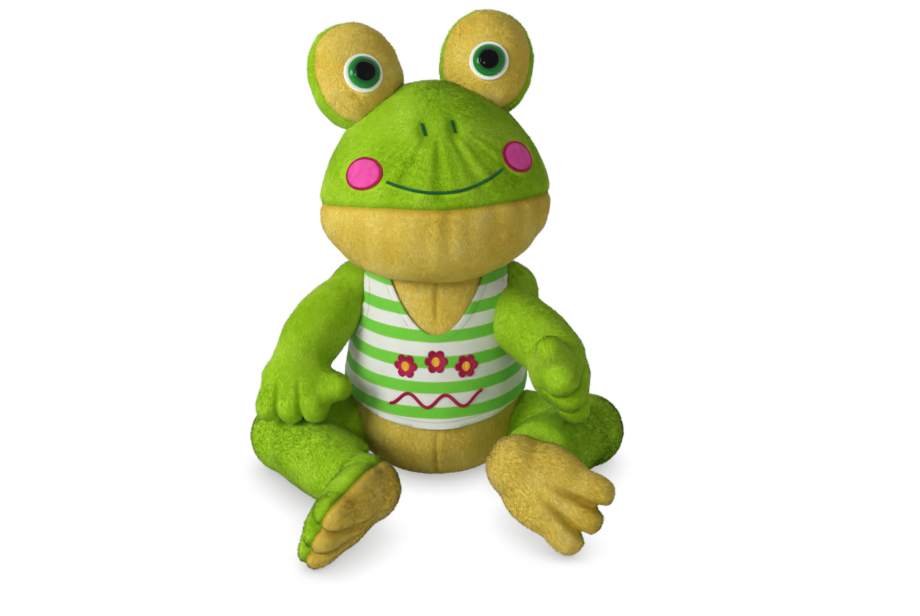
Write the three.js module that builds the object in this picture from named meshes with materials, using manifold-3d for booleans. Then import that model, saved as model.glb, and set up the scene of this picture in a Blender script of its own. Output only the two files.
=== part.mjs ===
// A stuffed plush frog that sits with its legs folded in front of it, in millimetres, +Z up.
// The origin is the centre of the flat seat, and the frog faces -Y. Left and right are the frog's
// own, so its left side is +X. Each stuffed part is a cover of pile fabric round its own filling.
import * as THREE from "three";
import { ParametricGeometry } from "three/addons/geometries/ParametricGeometry.js";
import { mergeVertices } from "three/addons/utils/BufferGeometryUtils.js";
import Module from "manifold-3d";

const wasm = await Module();
wasm.setup();
const degrees = THREE.MathUtils.degToRad;

// Fabric, thread and clearances
const pileWall = 4; // a cover's backing and pile
const seamGap = 0.4; // between sewn neighbours
const stitchRadius = 1.7; // mouth and nostril cords
const feltThickness = 1.8; // cheek patches
const borderRise = 2.6; // satin border round a cheek
const borderWidth = 2.4;
const knitThickness = 2.2; // the vest
const embroideryRise = 1.2; // embroidery above the vest
const overrun = 60; // how far a cutter runs past what it cuts

// Torso, whose outlines follow tables of shares from the seat to the neck
const torsoHeight = 229.5;
const torsoHalfWidth = 92.5;
const bellyReach = 98.5; // from the origin forward
const rumpReach = 80; // from the origin back
const seatFlat = 0.5; // depth of the flat that the seat is pressed to
const sideSeamForward = 19.5; // the belly panel ends this far in front of the origin
const torsoHeightShares = [0, 0.004, 0.02, 0.075, 0.2, 0.38, 0.56, 0.7, 0.82, 0.89, 0.94, 0.98, 1];
const torsoSideShares = [0, 0.45, 0.72, 0.88, 0.99, 0.985, 0.915, 0.845, 0.82, 0.7, 0.5, 0.3, 0];
const torsoFrontShares = [0, 0.45, 0.72, 0.92, 1, 0.93, 0.8, 0.67, 0.57, 0.5, 0.42, 0.28, 0];
const torsoBackShares = [0, 0.45, 0.68, 0.86, 0.98, 0.98, 0.9, 0.8, 0.7, 0.62, 0.5, 0.32, 0];

// Neck
const neckBallRadius = 43;
const neckRingThickness = 2.5; // the ladder-stitched seam between torso and head
const nodRoom = degrees(9); // how far the head's pocket is tilted open round the torso
const pocketShares = [0.6, 0.66, 0.72, 0.78, 0.84, 0.9]; // of the way along the torso's outline
const neckRingHalfHeight = 6.8;

// Head
const headHalfWidth = 113;
const snoutReach = 113; // from the neck's centre forward
const napeReach = 64.5; // from the neck's centre back
const crownHeight = 115; // above the mouth seam
const crownTaper = 1.55; // 2 is a dome, less draws the crown in towards its top
const jawDepth = 74; // below the mouth seam
const mouthSeamRise = 39; // mouth seam above the neck's centre
const jawForwardShare = 0.34; // how much deeper the jaw is in front than behind
const headPitch = degrees(12); // snout up
const headRoll = degrees(3.7); // left side up
const headYaw = degrees(9); // snout to its left

// Eye mounds
const moundHalfWidth = 45;
const moundHalfHeight = 52.5;
const moundHalfDepth = 36;
const moundSpread = 64.5; // from the middle of the head
const moundForward = 13.5; // in front of the neck's centre
const moundLift = 39; // centre above the crown under it
const moundSeamForward = 12; // the yellow front ends this far in front of the middle
const moundSplay = degrees(12);
const moundFullness = 1.08; // how square its sections are, 1 for an ellipse
const moundPitch = degrees(14);
const moundToeIn = degrees(10);

// Safety eyes
const eyeRadius = 19; // white base
const eyeBaseThickness = 4.9;
const irisRadius = 15.5;
const domeRise = 9.3; // top of the pupil above the base
const domeEdgeShare = 0.94; // the iris ends at this share of its dome's own radius
const domeSinkShare = 0.1; // of the dome's rise, sunk into the base
const domeRingShares = [0, 0.4, 0.75, 1];
const baseRimShares = [[-0.25, 0], [0, 0.5], [-0.2, 0.8]]; // out and up, of the base's thickness
const pupilRadius = 9.4;
const shankRadius = 3;
const shankLength = 16.5;
const washerRadius = 10.7;
const washerThickness = 2;
const eyeOutward = 3.5; // away from the middle of the head
const eyeDrop = 4.9;

// Face
const cheekHalfWidth = 18;
const cheekHalfHeight = 14;
const cheekAcross = 74; // from the middle of the face
const cheekRise = 40; // above the mouth seam
const mouthHalfWidth = 54.5;
const mouthRise = 16.5; // the smile's lowest point above the mouth seam
const smileDepth = 14.5; // its ends above its lowest point
const nostrilSpread = 14;
const nostrilRise = 74; // above the mouth seam
const nostrilHalfLength = 6.3;
const nostrilLean = 1 / 3; // both to the right, for their rise

// Arms
const shoulderHeight = 177.5;
const shoulderOut = 4.9; // centre of the shoulder outside the torso's side
const shoulderBallRadius = 26.5;
const upperArmRadius = 29.5;
const wristRadius = 29;
const palmHalfWidth = 36;
const palmHalfThickness = 25.5;
const palmHalfLength = 28;
const palmFullness = 1.1;
const armEndShares = [0.95, 0.9]; // of the shoulder's radius and of the palm's thickness
const elbowShare = 0.45; // of the way from the shoulder to the wrist
const wristShares = [0.75, 0.25]; // back from the palm's middle and up, of its half sizes
const fingerRadius = 15;
const fingerReach = 31; // centre of the palm to a fingertip's centre
const fingerSpread = 26; // between neighbouring fingers
const fingerRootShare = 0.7; // of the spread at the fingertips
const outerFingerShare = 0.2; // how much shorter the outer two are, of a finger's radius
const thumbRadius = 15.5;
const thumbReach = 43; // centre of the palm to the centre of the thumb's end
const handRestGap = 5; // between the hand and the leg under it

// Legs
const legRadius = 34;
const legEndShare = 0.9; // of the leg's radius, at the hip and at the ankle
const legLift = 34.5; // of the legs' centre lines above the seat
const hipBallRadius = 34;
const hipOut = 6.8; // centre of the hip outside the torso's side
const hipForward = 29.5; // in front of the origin
const thighLength = 64.5;
const shinLength = 146.5;
const kneeBallRadius = 36;
const heelRadius = 30;
const footHalfLength = 42;
const footHalfHeight = 40;
const footHalfThickness = 23.5;
const footFullness = 1.15;
const footForward = 32; // centre of the foot from the ankle
const toeRadius = 15.5;
const toeReach = 79; // ankle to the centre of a toe's end
const toeReachShares = [0.35, 0.7, 1];
const toeSwellShare = 1.15; // of a toe's radius, at its middle
const toeFan = degrees(19);

// Vest
const hemHeight = 56.5; // at the middle of the front
const hemSideRise = 32; // the hem's ends above its middle
const armholeHeight = 136.5;
const necklineHeight = 154;
const napelineHeight = 185.5;
const strapWidth = 24.5;
const strapOutside = 75; // outer edge of a strap from the middle
const necklineShare = 0.72; // how square the neckline is
const napelineShare = 0.9;
const vestTop = 217.5;

// Embroidered motif
const blossomRadius = 11.7;
const blossomCentreRadius = 4.4;
const blossomPetals = 6;
const petalShare = 0.2; // of the blossom's radius, between petals
const petalPoints = 6; // round each petal
const blossomSpread = 29.5; // between neighbouring blossoms
const blossomHeight = 125;
const waveHeight = 93.5;
const waveHalfWidth = 45;
const waveDepth = 5.9;
const waveTurns = 2.5;
const wavePoints = 18;
const waveThickness = 3.3;

// How each side sits: the thigh's and shin's angles about Z, the foot's and the hand's turns about
// X, Y and Z, how far along the shin the hand rests, and how far the elbow stands out
const pose = {
  right: {
    thigh: degrees(24),
    shin: degrees(-54),
    footTurn: [degrees(24), degrees(6), degrees(-64)],
    handTurn: [degrees(36), degrees(5), degrees(12)],
    handAlong: 25,
    elbowOut: 27,
  },
  left: {
    thigh: degrees(12),
    shin: degrees(-58),
    footTurn: [degrees(-28), degrees(24), degrees(-24)],
    handTurn: [degrees(20), degrees(62), degrees(22)],
    handAlong: 70,
    elbowOut: -4,
  },
};

const finish = (color, roughness) =>
  new THREE.MeshStandardMaterial({ color, roughness, metalness: 0 });
const plushGreen = finish("#8cc41e", 0.95);
const plushYellow = finish("#e2bb55", 0.95);
const filling = finish("#efece2", 1);
const knit = finish("#5fb93a", 0.9);
const greenThread = finish("#0b6b3f", 0.5);
const crimsonThread = finish("#a8123f", 0.45);
const yellowThread = finish("#e0a92c", 0.45);
const pinkFelt = finish("#e8449a", 0.9);
const whitePlastic = finish("#f4f4ee", 0.2);
const greenPlastic = finish("#0c7a34", 0.12);
const blackPlastic = finish("#060606", 0.1);

// Steps round and along each form, outside and for the hollow that its filling lies in
const torsoSteps = [16, 12];
const torsoHollowSteps = [9, 7];
const headSteps = [18, 11];
const headHollowSteps = [9, 6];
const moundSteps = [12, 7];
const moundHollowSteps = [8, 4];
const limbSteps = [10, 7];
const limbHollowSteps = [6, 5];
const footSteps = [10, 7];
const footHollowSteps = [6, 4];
const fingerSteps = [6, 5];
const ballSteps = 12;
const ringSteps = 2 * ballSteps;
const eyeSteps = 16;
const outlineSteps = 4; // of a quarter of a curved outline
const cordSides = 3; // of a half section
const nostrilSteps = 4;
const smileSteps = 12;
const boreSteps = 8;

// A closed geometry as a solid, without the facets that shrink to nothing at a pole
function solidOf(geometry) {
  const bare = new THREE.BufferGeometry();
  bare.setAttribute("position", geometry.getAttribute("position"));
  bare.setIndex(geometry.index);
  const merged = mergeVertices(bare);
  const corners = merged.index.array;
  const triVerts = [];
  for (let i = 0; i < corners.length; i += 3) {
    const [a, b, c] = corners.slice(i, i + 3);
    if (a !== b && b !== c && c !== a) triVerts.push(a, b, c);
  }
  const mesh = new wasm.Mesh({
    numProp: 3,
    vertProperties: merged.attributes.position.array,
    triVerts: new Uint32Array(triVerts),
  });
  return new wasm.Manifold(mesh);
}

// A solid as a mesh with a name and a finish, put into a group
function piece(parent, name, solid, material) {
  const { vertProperties, triVerts } = solid.getMesh();
  const shared = new THREE.BufferGeometry();
  shared.setAttribute("position", new THREE.BufferAttribute(vertProperties, 3));
  shared.setIndex(new THREE.BufferAttribute(triVerts, 1));
  const geometry = shared.toNonIndexed();
  geometry.computeVertexNormals();
  const mesh = new THREE.Mesh(geometry, material);
  mesh.name = name;
  parent.add(mesh);
}

// A group placed in another by a point and by turns about X, Y and Z, the last about Z
function frameIn(parent, point, [aboutX, aboutY, aboutZ] = [0, 0, 0]) {
  const frame = new THREE.Group();
  frame.position.copy(point);
  frame.rotation.set(aboutX, aboutY, aboutZ, "ZXY");
  parent.add(frame);
  frame.updateWorldMatrix(true, false);
  return frame;
}

// A solid made in one group's frame, carried over to another group's frame
const carried = (solid, from, to) =>
  solid.transform(to.matrixWorld.clone().invert().multiply(from.matrixWorld).elements);

const union = (solids) => solids.reduce((whole, solid) => whole.add(solid));
const ball = (radius, centre) =>
  solidOf(new THREE.SphereGeometry(radius, ballSteps, ballSteps / 2)).translate(centre.toArray());

// A round socket, whose flat facets face the ball's corners at rest and clear them as it turns
function socket(radius, centre) {
  const rings = ballSteps / 2 + 1;
  const corner = (radius + seamGap) / Math.cos(Math.PI / ballSteps) / Math.cos(Math.PI / (2 * rings));
  const blank = new THREE.SphereGeometry(corner, ballSteps, rings).rotateY(Math.PI / ballSteps);
  return solidOf(blank).translate(centre.toArray());
}

// The far side of a plane that crosses a direction at a reach, as a block of twice a size
function beyond(direction, reach, size) {
  const block = new THREE.BoxGeometry(2 * size, 2 * size, size).translate(0, 0, size / 2 + reach);
  const turn = new THREE.Quaternion().setFromUnitVectors(
    new THREE.Vector3(0, 0, 1),
    direction.clone().normalize(),
  );
  return solidOf(block.applyQuaternion(turn));
}

// A disc or a turned shape, its profile in radius and height, with its height along a direction
function turned(profile, direction, steps = eyeSteps) {
  const blank = new THREE.LatheGeometry(profile.map(([r, h]) => new THREE.Vector2(r, h)), steps);
  const turn = new THREE.Quaternion().setFromUnitVectors(new THREE.Vector3(0, 1, 0), direction);
  return solidOf(blank.applyQuaternion(turn));
}
const rod = (radius, from, to, direction, steps = boreSteps) =>
  turned([[0, from], [radius, from], [radius, to], [0, to]], direction, steps);

const nudgeShare = 0.01; // of a form's round or length, to find its slope

// A closed soft form: a point for each share round and each share along from pole to pole
class Form {
  constructor(place) {
    this.place = place;
  }

  // The way that faces out of the form there
  outward(round, along) {
    const step = nudgeShare;
    const near = (r, a) => this.place((r + 1) % 1, THREE.MathUtils.clamp(a, 0, 1));
    if (along === 0 || along === 1) {
      const ring = Math.abs(along - step);
      const middle = near(0, ring).add(near(0.5, ring)).multiplyScalar(0.5);
      return near(0, along).sub(middle).normalize();
    }
    const across = near(round + step, along).sub(near(round - step, along));
    const up = near(round, along + step).sub(near(round, along - step));
    return across.cross(up).normalize();
  }

  // The form as a solid, grown or shrunk evenly
  solid([round, along], growth = 0) {
    const at = (u, v, target) => {
      target.copy(this.place(u % 1, v));
      if (growth) target.addScaledVector(this.outward(u % 1, v), growth);
    };
    return solidOf(new ParametricGeometry(at, round, along));
  }

  // Fabric that lies on the form, from one height above it to another, inside an outline
  layer(steps, from, to, outline) {
    return this.solid(steps, to).subtract(this.solid(steps, from)).intersect(outline);
  }
}

// A stuffed limb along a smooth line, whose radius swells and tapers through its radii
function limbForm(points, radii) {
  const line = new THREE.CatmullRomCurve3(points);
  const swell = new THREE.SplineCurve(radii.map((r, i) => new THREE.Vector2(i / (radii.length - 1), r)));
  const length = line.getLength();
  return new Form((round, along) => {
    const share = (1 - Math.cos(Math.PI * along)) / 2;
    const radius = swell.getPoint(share).y;
    const cap = Math.min(1, (Math.min(share, 1 - share) * length) / radius);
    const reach = radius * Math.sqrt(1 - (1 - cap) ** 2);
    const ahead = line.getTangentAt(share);
    const across = new THREE.Vector3(0, 0, 1).cross(ahead).normalize();
    const up = ahead.clone().cross(across);
    const angle = 2 * Math.PI * round;
    return line.getPointAt(share)
      .addScaledVector(across, reach * Math.cos(angle))
      .addScaledVector(up, reach * Math.sin(angle));
  });
}

// A stuffed pad: an ellipsoid in its half sizes, squarer as its fullness grows past 1
function padForm(half, fullness = 1) {
  const full = (share) => Math.sign(share) * Math.abs(share) ** (1 / fullness);
  return new Form((round, along) => {
    const ring = Math.sin(Math.PI * along);
    const angle = 2 * Math.PI * round;
    return new THREE.Vector3(
      half.x * full(ring * Math.cos(angle)),
      half.y * full(ring * Math.sin(angle)),
      -half.z * full(Math.cos(Math.PI * along)),
    );
  });
}

const frog = new THREE.Group();
const front = new THREE.Vector3(0, -1, 0);
const back = new THREE.Vector3(0, 1, 0);
const up = new THREE.Vector3(0, 0, 1);
const down = new THREE.Vector3(0, 0, -1);
const whole = 2 * (torsoHeight + crownHeight + overrun);
const floor = beyond(down, 0, whole);

// Torso outlines: how far it stands out against its height, at its side, front and back
const outlineOf = (shares, reach) =>
  new THREE.SplineCurve(shares.map((share, i) =>
    new THREE.Vector2(share * reach, torsoHeightShares[i] * (torsoHeight + seatFlat) - seatFlat)));
const torsoSide = outlineOf(torsoSideShares, torsoHalfWidth);
const torsoFront = outlineOf(torsoFrontShares, bellyReach);
const torsoBack = outlineOf(torsoBackShares, rumpReach);
const torsoForm = new Form((round, along) => {
  const angle = 2 * Math.PI * round;
  const side = torsoSide.getPoint(along);
  const depth = (Math.sin(angle) < 0 ? torsoFront : torsoBack).getPoint(along).x;
  return new THREE.Vector3(side.x * Math.cos(angle), depth * Math.sin(angle), side.y);
});

const closeEnough = 1e-6; // between shares of an outline

// How far an outline stands out at a height
function reachAt(outline, height) {
  let low = 0;
  let high = 1;
  while (high - low > closeEnough) {
    const middle = (low + high) / 2;
    if (outline.getPoint(middle).y < height) low = middle;
    else high = middle;
  }
  return outline.getPoint(low).x;
}

// Where the torso's surface lies to the side at a height and at a distance in front of the origin
function torsoEdge(height, forward) {
  const depth = reachAt(forward > 0 ? torsoFront : torsoBack, height);
  return reachAt(torsoSide, height) * Math.sqrt(1 - (forward / depth) ** 2);
}

const sides = [
  { name: "right", sign: -1, ...pose.right },
  { name: "left", sign: 1, ...pose.left },
];
for (const side of sides) {
  const { sign } = side;
  const shoulderAcross = reachAt(torsoSide, shoulderHeight) + shoulderOut;
  side.shoulder = new THREE.Vector3(sign * shoulderAcross, 0, shoulderHeight);
  side.hip = new THREE.Vector3(sign * (torsoEdge(legLift, hipForward) + hipOut), -hipForward, legLift);
  side.ahead = (angle) => new THREE.Vector3(sign * Math.cos(angle), -Math.sin(angle), 0);
  side.knee = side.hip.clone().addScaledVector(side.ahead(side.thigh), thighLength);
  side.shinAhead = side.ahead(Math.PI + side.shin);
  side.ankle = side.knee.clone().addScaledVector(side.shinAhead, shinLength);
}
const neck = new THREE.Vector3(0, 0, torsoHeight);
const sockets = union(sides.flatMap((side) => [
  socket(shoulderBallRadius, side.shoulder),
  socket(hipBallRadius, side.hip),
]));

// Torso: belly panel, back panel and filling
{
  const neckBall = ball(neckBallRadius, neck);
  const skin = torsoForm.solid(torsoSteps).add(neckBall).subtract(floor).subtract(sockets);
  const hollow = (shrink) =>
    torsoForm.solid(torsoHollowSteps, -shrink).add(ball(neckBallRadius - shrink, neck));
  const cover = skin.subtract(hollow(pileWall));
  const seam = sideSeamForward;
  const bellySide = beyond(front, seam + seamGap / 2, whole);
  const backSide = beyond(back, seamGap / 2 - seam, whole);
  piece(frog, "torso_belly_panel", cover.intersect(bellySide), plushYellow);
  piece(frog, "torso_back_panel", cover.intersect(backSide), plushGreen);
  piece(frog, "torso_filling", hollow(pileWall + seamGap).subtract(sockets), filling);
}

// Neck seam: a band that turns between the torso's ball and the head's socket
const ringOutside = (neckBallRadius + seamGap) / Math.cos(Math.PI / ringSteps) + neckRingThickness;
{
  const inner = ringOutside - neckRingThickness;
  const rise = neckRingHalfHeight;
  const arc = (radius, from, to) =>
    [0, 0.5, 1].map((share) => {
      const height = from + (to - from) * share;
      return [Math.sqrt(radius ** 2 - height ** 2), height];
    });
  const profile = [...arc(inner, rise, -rise), ...arc(ringOutside, -rise, rise)];
  const band = turned([...profile, profile[0]], up, ringSteps);
  piece(frameIn(frog, neck), "neck_seam_ring", band, greenThread);
}

// Head: a crown over a jaw, which meet in the mouth seam, round one filling
const head = frameIn(frog, neck, [-headPitch, -headRoll, headYaw]);
const headMiddle = (napeReach - snoutReach) / 2;
const headHalfDepth = (napeReach + snoutReach) / 2;
const drawnIn = (share) => Math.sqrt(1 - share ** crownTaper);
const headPoint = (angle, rise) => {
  const ring = rise > 0 ? drawnIn(Math.sin(rise)) : Math.cos(rise);
  const forward = -ring * Math.sin(angle);
  const depth = rise > 0 ? crownHeight : jawDepth * (1 + jawForwardShare * forward);
  return new THREE.Vector3(
    headHalfWidth * ring * Math.cos(angle),
    headMiddle - headHalfDepth * forward,
    mouthSeamRise + depth * Math.sin(rise),
  );
};
const headForm = new Form((round, along) => headPoint(2 * Math.PI * round, Math.PI * (along - 0.5)));

// The point of the crown's front above the mouth seam, lifted off the surface
function onCrown(across, rise, lift = 0) {
  const ring = drawnIn(rise / crownHeight);
  const share = across / (headHalfWidth * ring);
  const forward = ring * Math.sqrt(1 - share ** 2);
  const point = new THREE.Vector3(across, headMiddle - headHalfDepth * forward, mouthSeamRise + rise);
  const outward = new THREE.Vector3(
    across / headHalfWidth ** 2,
    -forward / headHalfDepth,
    crownTaper / 2 / crownHeight * (rise / crownHeight) ** (crownTaper - 1),
  ).normalize();
  return { point: point.addScaledVector(outward, lift), outward };
}

// The room that the head leaves round the torso's top, wide enough for it to turn and to nod
function neckPocket() {
  const profile = pocketShares.map((share) => {
    const { x, y } = torsoSide.getPoint(share);
    const along = new THREE.Vector2(x + knitThickness + 2 * seamGap, y - torsoHeight);
    return along.rotateAround(new THREE.Vector2(), nodRoom).toArray();
  });
  const [, lowest] = profile[0];
  return turned([[0, lowest], ...profile, [0, profile.at(-1)[1]]], up).translate(neck.toArray());
}
{
  const pocket = carried(neckPocket().add(socket(ringOutside, neck)), frog, head);
  const skin = headForm.solid(headSteps);
  const cover = skin.subtract(headForm.solid(headHollowSteps, -pileWall)).subtract(pocket);
  const crownCut = beyond(up, mouthSeamRise + seamGap / 2, whole);
  const jawCut = beyond(down, seamGap / 2 - mouthSeamRise, whole);
  piece(head, "head_crown", cover.intersect(crownCut), plushGreen);
  piece(head, "head_jaw", cover.intersect(jawCut), plushYellow);
  const core = headForm.solid(headHollowSteps, -pileWall - seamGap);
  piece(head, "head_filling", core.subtract(pocket), filling);
}

// Eye mounds and their safety eyes
const mound = padForm(new THREE.Vector3(moundHalfWidth, moundHalfDepth, moundHalfHeight), moundFullness);
const crownGrown = headForm.solid(headSteps, seamGap);
const sag = moundHalfDepth * (1 - Math.sqrt(1 - (eyeRadius / moundHalfWidth) ** 2));
for (const { name, sign } of sides) {
  const rise = crownHeight * (1 - (moundSpread / headHalfWidth) ** 2) ** (1 / crownTaper);
  const centre = new THREE.Vector3(sign * moundSpread, -moundForward, mouthSeamRise + rise + moundLift);
  const frame = frameIn(head, centre, [-moundPitch, sign * moundSplay, -sign * moundToeIn]);
  const eye = frameIn(frame, new THREE.Vector3(sign * eyeOutward, sag - moundHalfDepth, -eyeDrop));
  const crown = carried(crownGrown, head, frame);
  const at = eye.position;

  // The front is pressed flat where the eye sits on it, and pierced for the shank
  const flat = beyond(front, -at.y, whole);
  const innerFlat = beyond(front, -at.y - pileWall, whole);
  const bore = rod(shankRadius + seamGap, -shankLength - seamGap, overrun, front).translate(at.toArray());
  const washerDepth = pileWall + washerThickness + 2 * seamGap;
  const recess = rod(washerRadius + seamGap, -washerDepth, -pileWall, front, eyeSteps)
    .translate(at.toArray());
  const hollow = mound.solid(moundHollowSteps, -pileWall).subtract(innerFlat);
  const cover = mound.solid(moundSteps)
    .subtract(flat).subtract(crown).subtract(hollow).subtract(bore).subtract(recess);
  const core = mound.solid(moundHollowSteps, -pileWall - seamGap)
    .subtract(innerFlat.translate([0, seamGap, 0]))
    .subtract(crown).subtract(bore).subtract(recess);
  const frontSide = beyond(front, seamGap / 2 + moundSeamForward, whole);
  const backSide = beyond(back, seamGap / 2 - moundSeamForward, whole);
  piece(frame, `eye_mound_front_${name}`, cover.intersect(frontSide), plushYellow);
  piece(frame, `eye_mound_back_${name}`, cover.intersect(backSide), plushGreen);
  piece(frame, `eye_mound_filling_${name}`, core, filling);

  // White base with its shank, green iris, black pupil, and the washer that locks the shank
  const lip = eyeBaseThickness;
  const base = turned([
    [0, -shankLength], [shankRadius, -shankLength], [shankRadius, seamGap],
    ...baseRimShares.map(([out, rise]) => [eyeRadius + out * lip, seamGap + rise * (lip - seamGap)]),
    [irisRadius + seamGap, lip], [0, lip],
  ], front);
  const domeShare = (radius) => Math.sqrt(1 - (domeEdgeShare * radius / irisRadius) ** 2) - domeSinkShare;
  const dome = (radius) => lip + seamGap + domeRise * domeShare(radius);
  const arc = (from, to) => domeRingShares.map((share) => {
    const radius = from + (to - from) * share;
    return [radius, dome(radius)];
  });
  const seat = lip + seamGap;
  const irisInside = pupilRadius + seamGap;
  const irisFoot = [irisInside, seat];
  const iris = turned([irisFoot, [irisRadius, seat], ...arc(irisRadius, irisInside), irisFoot], front);
  const pupil = turned([[0, seat], [pupilRadius, seat], ...arc(pupilRadius, 0)], front);
  const washerFront = -pileWall - seamGap;
  const washerBack = washerFront - washerThickness;
  const washerBore = [shankRadius + seamGap, washerBack];
  const washer = turned([
    washerBore, [washerRadius, washerBack], [washerRadius, washerFront],
    [shankRadius + seamGap, washerFront], washerBore,
  ], front);
  piece(eye, `eye_base_${name}`, base, whitePlastic);
  piece(eye, `eye_iris_${name}`, iris, greenPlastic);
  piece(eye, `eye_pupil_${name}`, pupil, blackPlastic);
  piece(eye, `eye_washer_${name}`, washer, whitePlastic);
}

// Face: felt cheeks in satin borders, nostril stitches and a stitched smile
function cord(points, radius, steps) {
  const line = new THREE.CatmullRomCurve3(points);
  const section = new THREE.Shape().absarc(0, 0, radius, 0, 2 * Math.PI);
  const options = { steps, curveSegments: cordSides, extrudePath: line };
  return solidOf(new THREE.ExtrudeGeometry(section, options));
}
function ovalPrism(halfWidth, halfHeight, { point, outward }, tilt) {
  const shape = new THREE.Shape().absellipse(0, 0, halfWidth, halfHeight, 0, 2 * Math.PI);
  const options = { depth: overrun, curveSegments: 2 * outlineSteps, bevelEnabled: false };
  const blank = new THREE.ExtrudeGeometry(shape, options).translate(0, 0, -overrun / 2).rotateZ(tilt);
  const across = new THREE.Vector3(0, 0, 1).cross(outward).normalize();
  const facing = new THREE.Matrix4().makeBasis(across, outward.clone().cross(across), outward);
  return solidOf(blank.applyMatrix4(facing.setPosition(point)));
}
for (const { name, sign } of sides) {
  const spot = onCrown(sign * cheekAcross, cheekRise);
  const felt = ovalPrism(cheekHalfWidth, cheekHalfHeight, spot, 0);
  const edge = ovalPrism(cheekHalfWidth + seamGap, cheekHalfHeight + seamGap, spot, 0);
  const rim = borderWidth + seamGap;
  const border = ovalPrism(cheekHalfWidth + rim, cheekHalfHeight + rim, spot, 0).subtract(edge);
  const cheek = headForm.layer(headSteps, seamGap, seamGap + feltThickness, felt);
  const ring = headForm.layer(headSteps, seamGap, seamGap + borderRise, border);
  piece(head, `cheek_${name}`, cheek, pinkFelt);
  piece(head, `cheek_border_${name}`, ring, crimsonThread);

  const lift = stitchRadius + seamGap;
  const nostril = [-1, 0, 1].map((share) => {
    const rise = share * nostrilHalfLength;
    return onCrown(sign * nostrilSpread - rise * nostrilLean, nostrilRise + rise, lift).point;
  });
  piece(head, `nostril_stitch_${name}`, cord(nostril, stitchRadius, nostrilSteps), greenThread);
}
{
  const lift = stitchRadius + seamGap;
  const smile = [-1, -0.75, -0.5, -0.25, 0, 0.25, 0.5, 0.75, 1].map((share) =>
    onCrown(share * mouthHalfWidth, mouthRise + smileDepth * share ** 2, lift).point);
  piece(head, "mouth_stitch", cord(smile, stitchRadius, smileSteps), greenThread);
}

// Puts a frame at the height where a solid made in it just reaches down to a level
function lowerTo(frame, solid, level) {
  const [, , low] = carried(solid, frame, frog).boundingBox().min;
  frame.position.z += level - low;
  frame.updateWorldMatrix(true, false);
}

// Puts a frame at the height where a solid made in it rests on another, but for a gap
function restOn(frame, solid, support) {
  const free = (height) => {
    frame.position.z = height;
    frame.updateWorldMatrix(true, false);
    return carried(solid, frame, frog).intersect(support).isEmpty();
  };
  let low = legLift;
  let high = shoulderHeight;
  while (high - low > seamGap) {
    const middle = (low + high) / 2;
    if (free(middle)) high = middle;
    else low = middle;
  }
  free(high + handRestGap);
}
const moved = (point, direction, reach) => point.clone().addScaledVector(direction, reach);
const mirrored = ([aboutX, aboutY, aboutZ], sign) => [aboutX, sign * aboutY, sign * aboutZ];

// Feet: a green upper and a yellow sole round one filling, with a round heel and three toes
const footPad = padForm(new THREE.Vector3(footHalfLength, footHalfThickness, footHalfHeight), footFullness);
for (const side of sides) {
  const { name, sign } = side;
  const frame = frameIn(frog, side.ankle, mirrored(side.footTurn, sign));
  const padAt = [sign * footForward, 0, 0];
  const toes = [-1, 0, 1].map((step) => {
    const way = new THREE.Vector3(sign * Math.cos(step * toeFan), 0, Math.sin(step * toeFan));
    const points = toeReachShares.map((share) => way.clone().multiplyScalar(share * (toeReach + toeRadius)));
    return limbForm(points, [toeRadius, toeRadius * toeSwellShare, toeRadius]).solid(fingerSteps);
  });
  const heel = ball(heelRadius, new THREE.Vector3());
  const blank = union([footPad.solid(footSteps).translate(padAt), heel, ...toes]);
  lowerTo(frame, blank, -seatFlat);
  side.ankle = frame.position;
  side.ankleSide = carried(beyond(back, footHalfThickness + 2 * seamGap, whole), frame, frog);
  side.foot = carried(blank, frame, frog);
  const ground = carried(floor, frog, frame);
  const hollow = (wall) => footPad.solid(footHollowSteps, -wall).translate(padAt);
  const cover = blank.subtract(ground).subtract(hollow(pileWall));
  piece(frame, `foot_upper_${name}`, cover.intersect(beyond(back, seamGap / 2, whole)), plushGreen);
  piece(frame, `foot_sole_${name}`, cover.intersect(beyond(front, seamGap / 2, whole)), plushYellow);
  piece(frame, `foot_filling_${name}`, hollow(pileWall + seamGap), filling);
}

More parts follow.
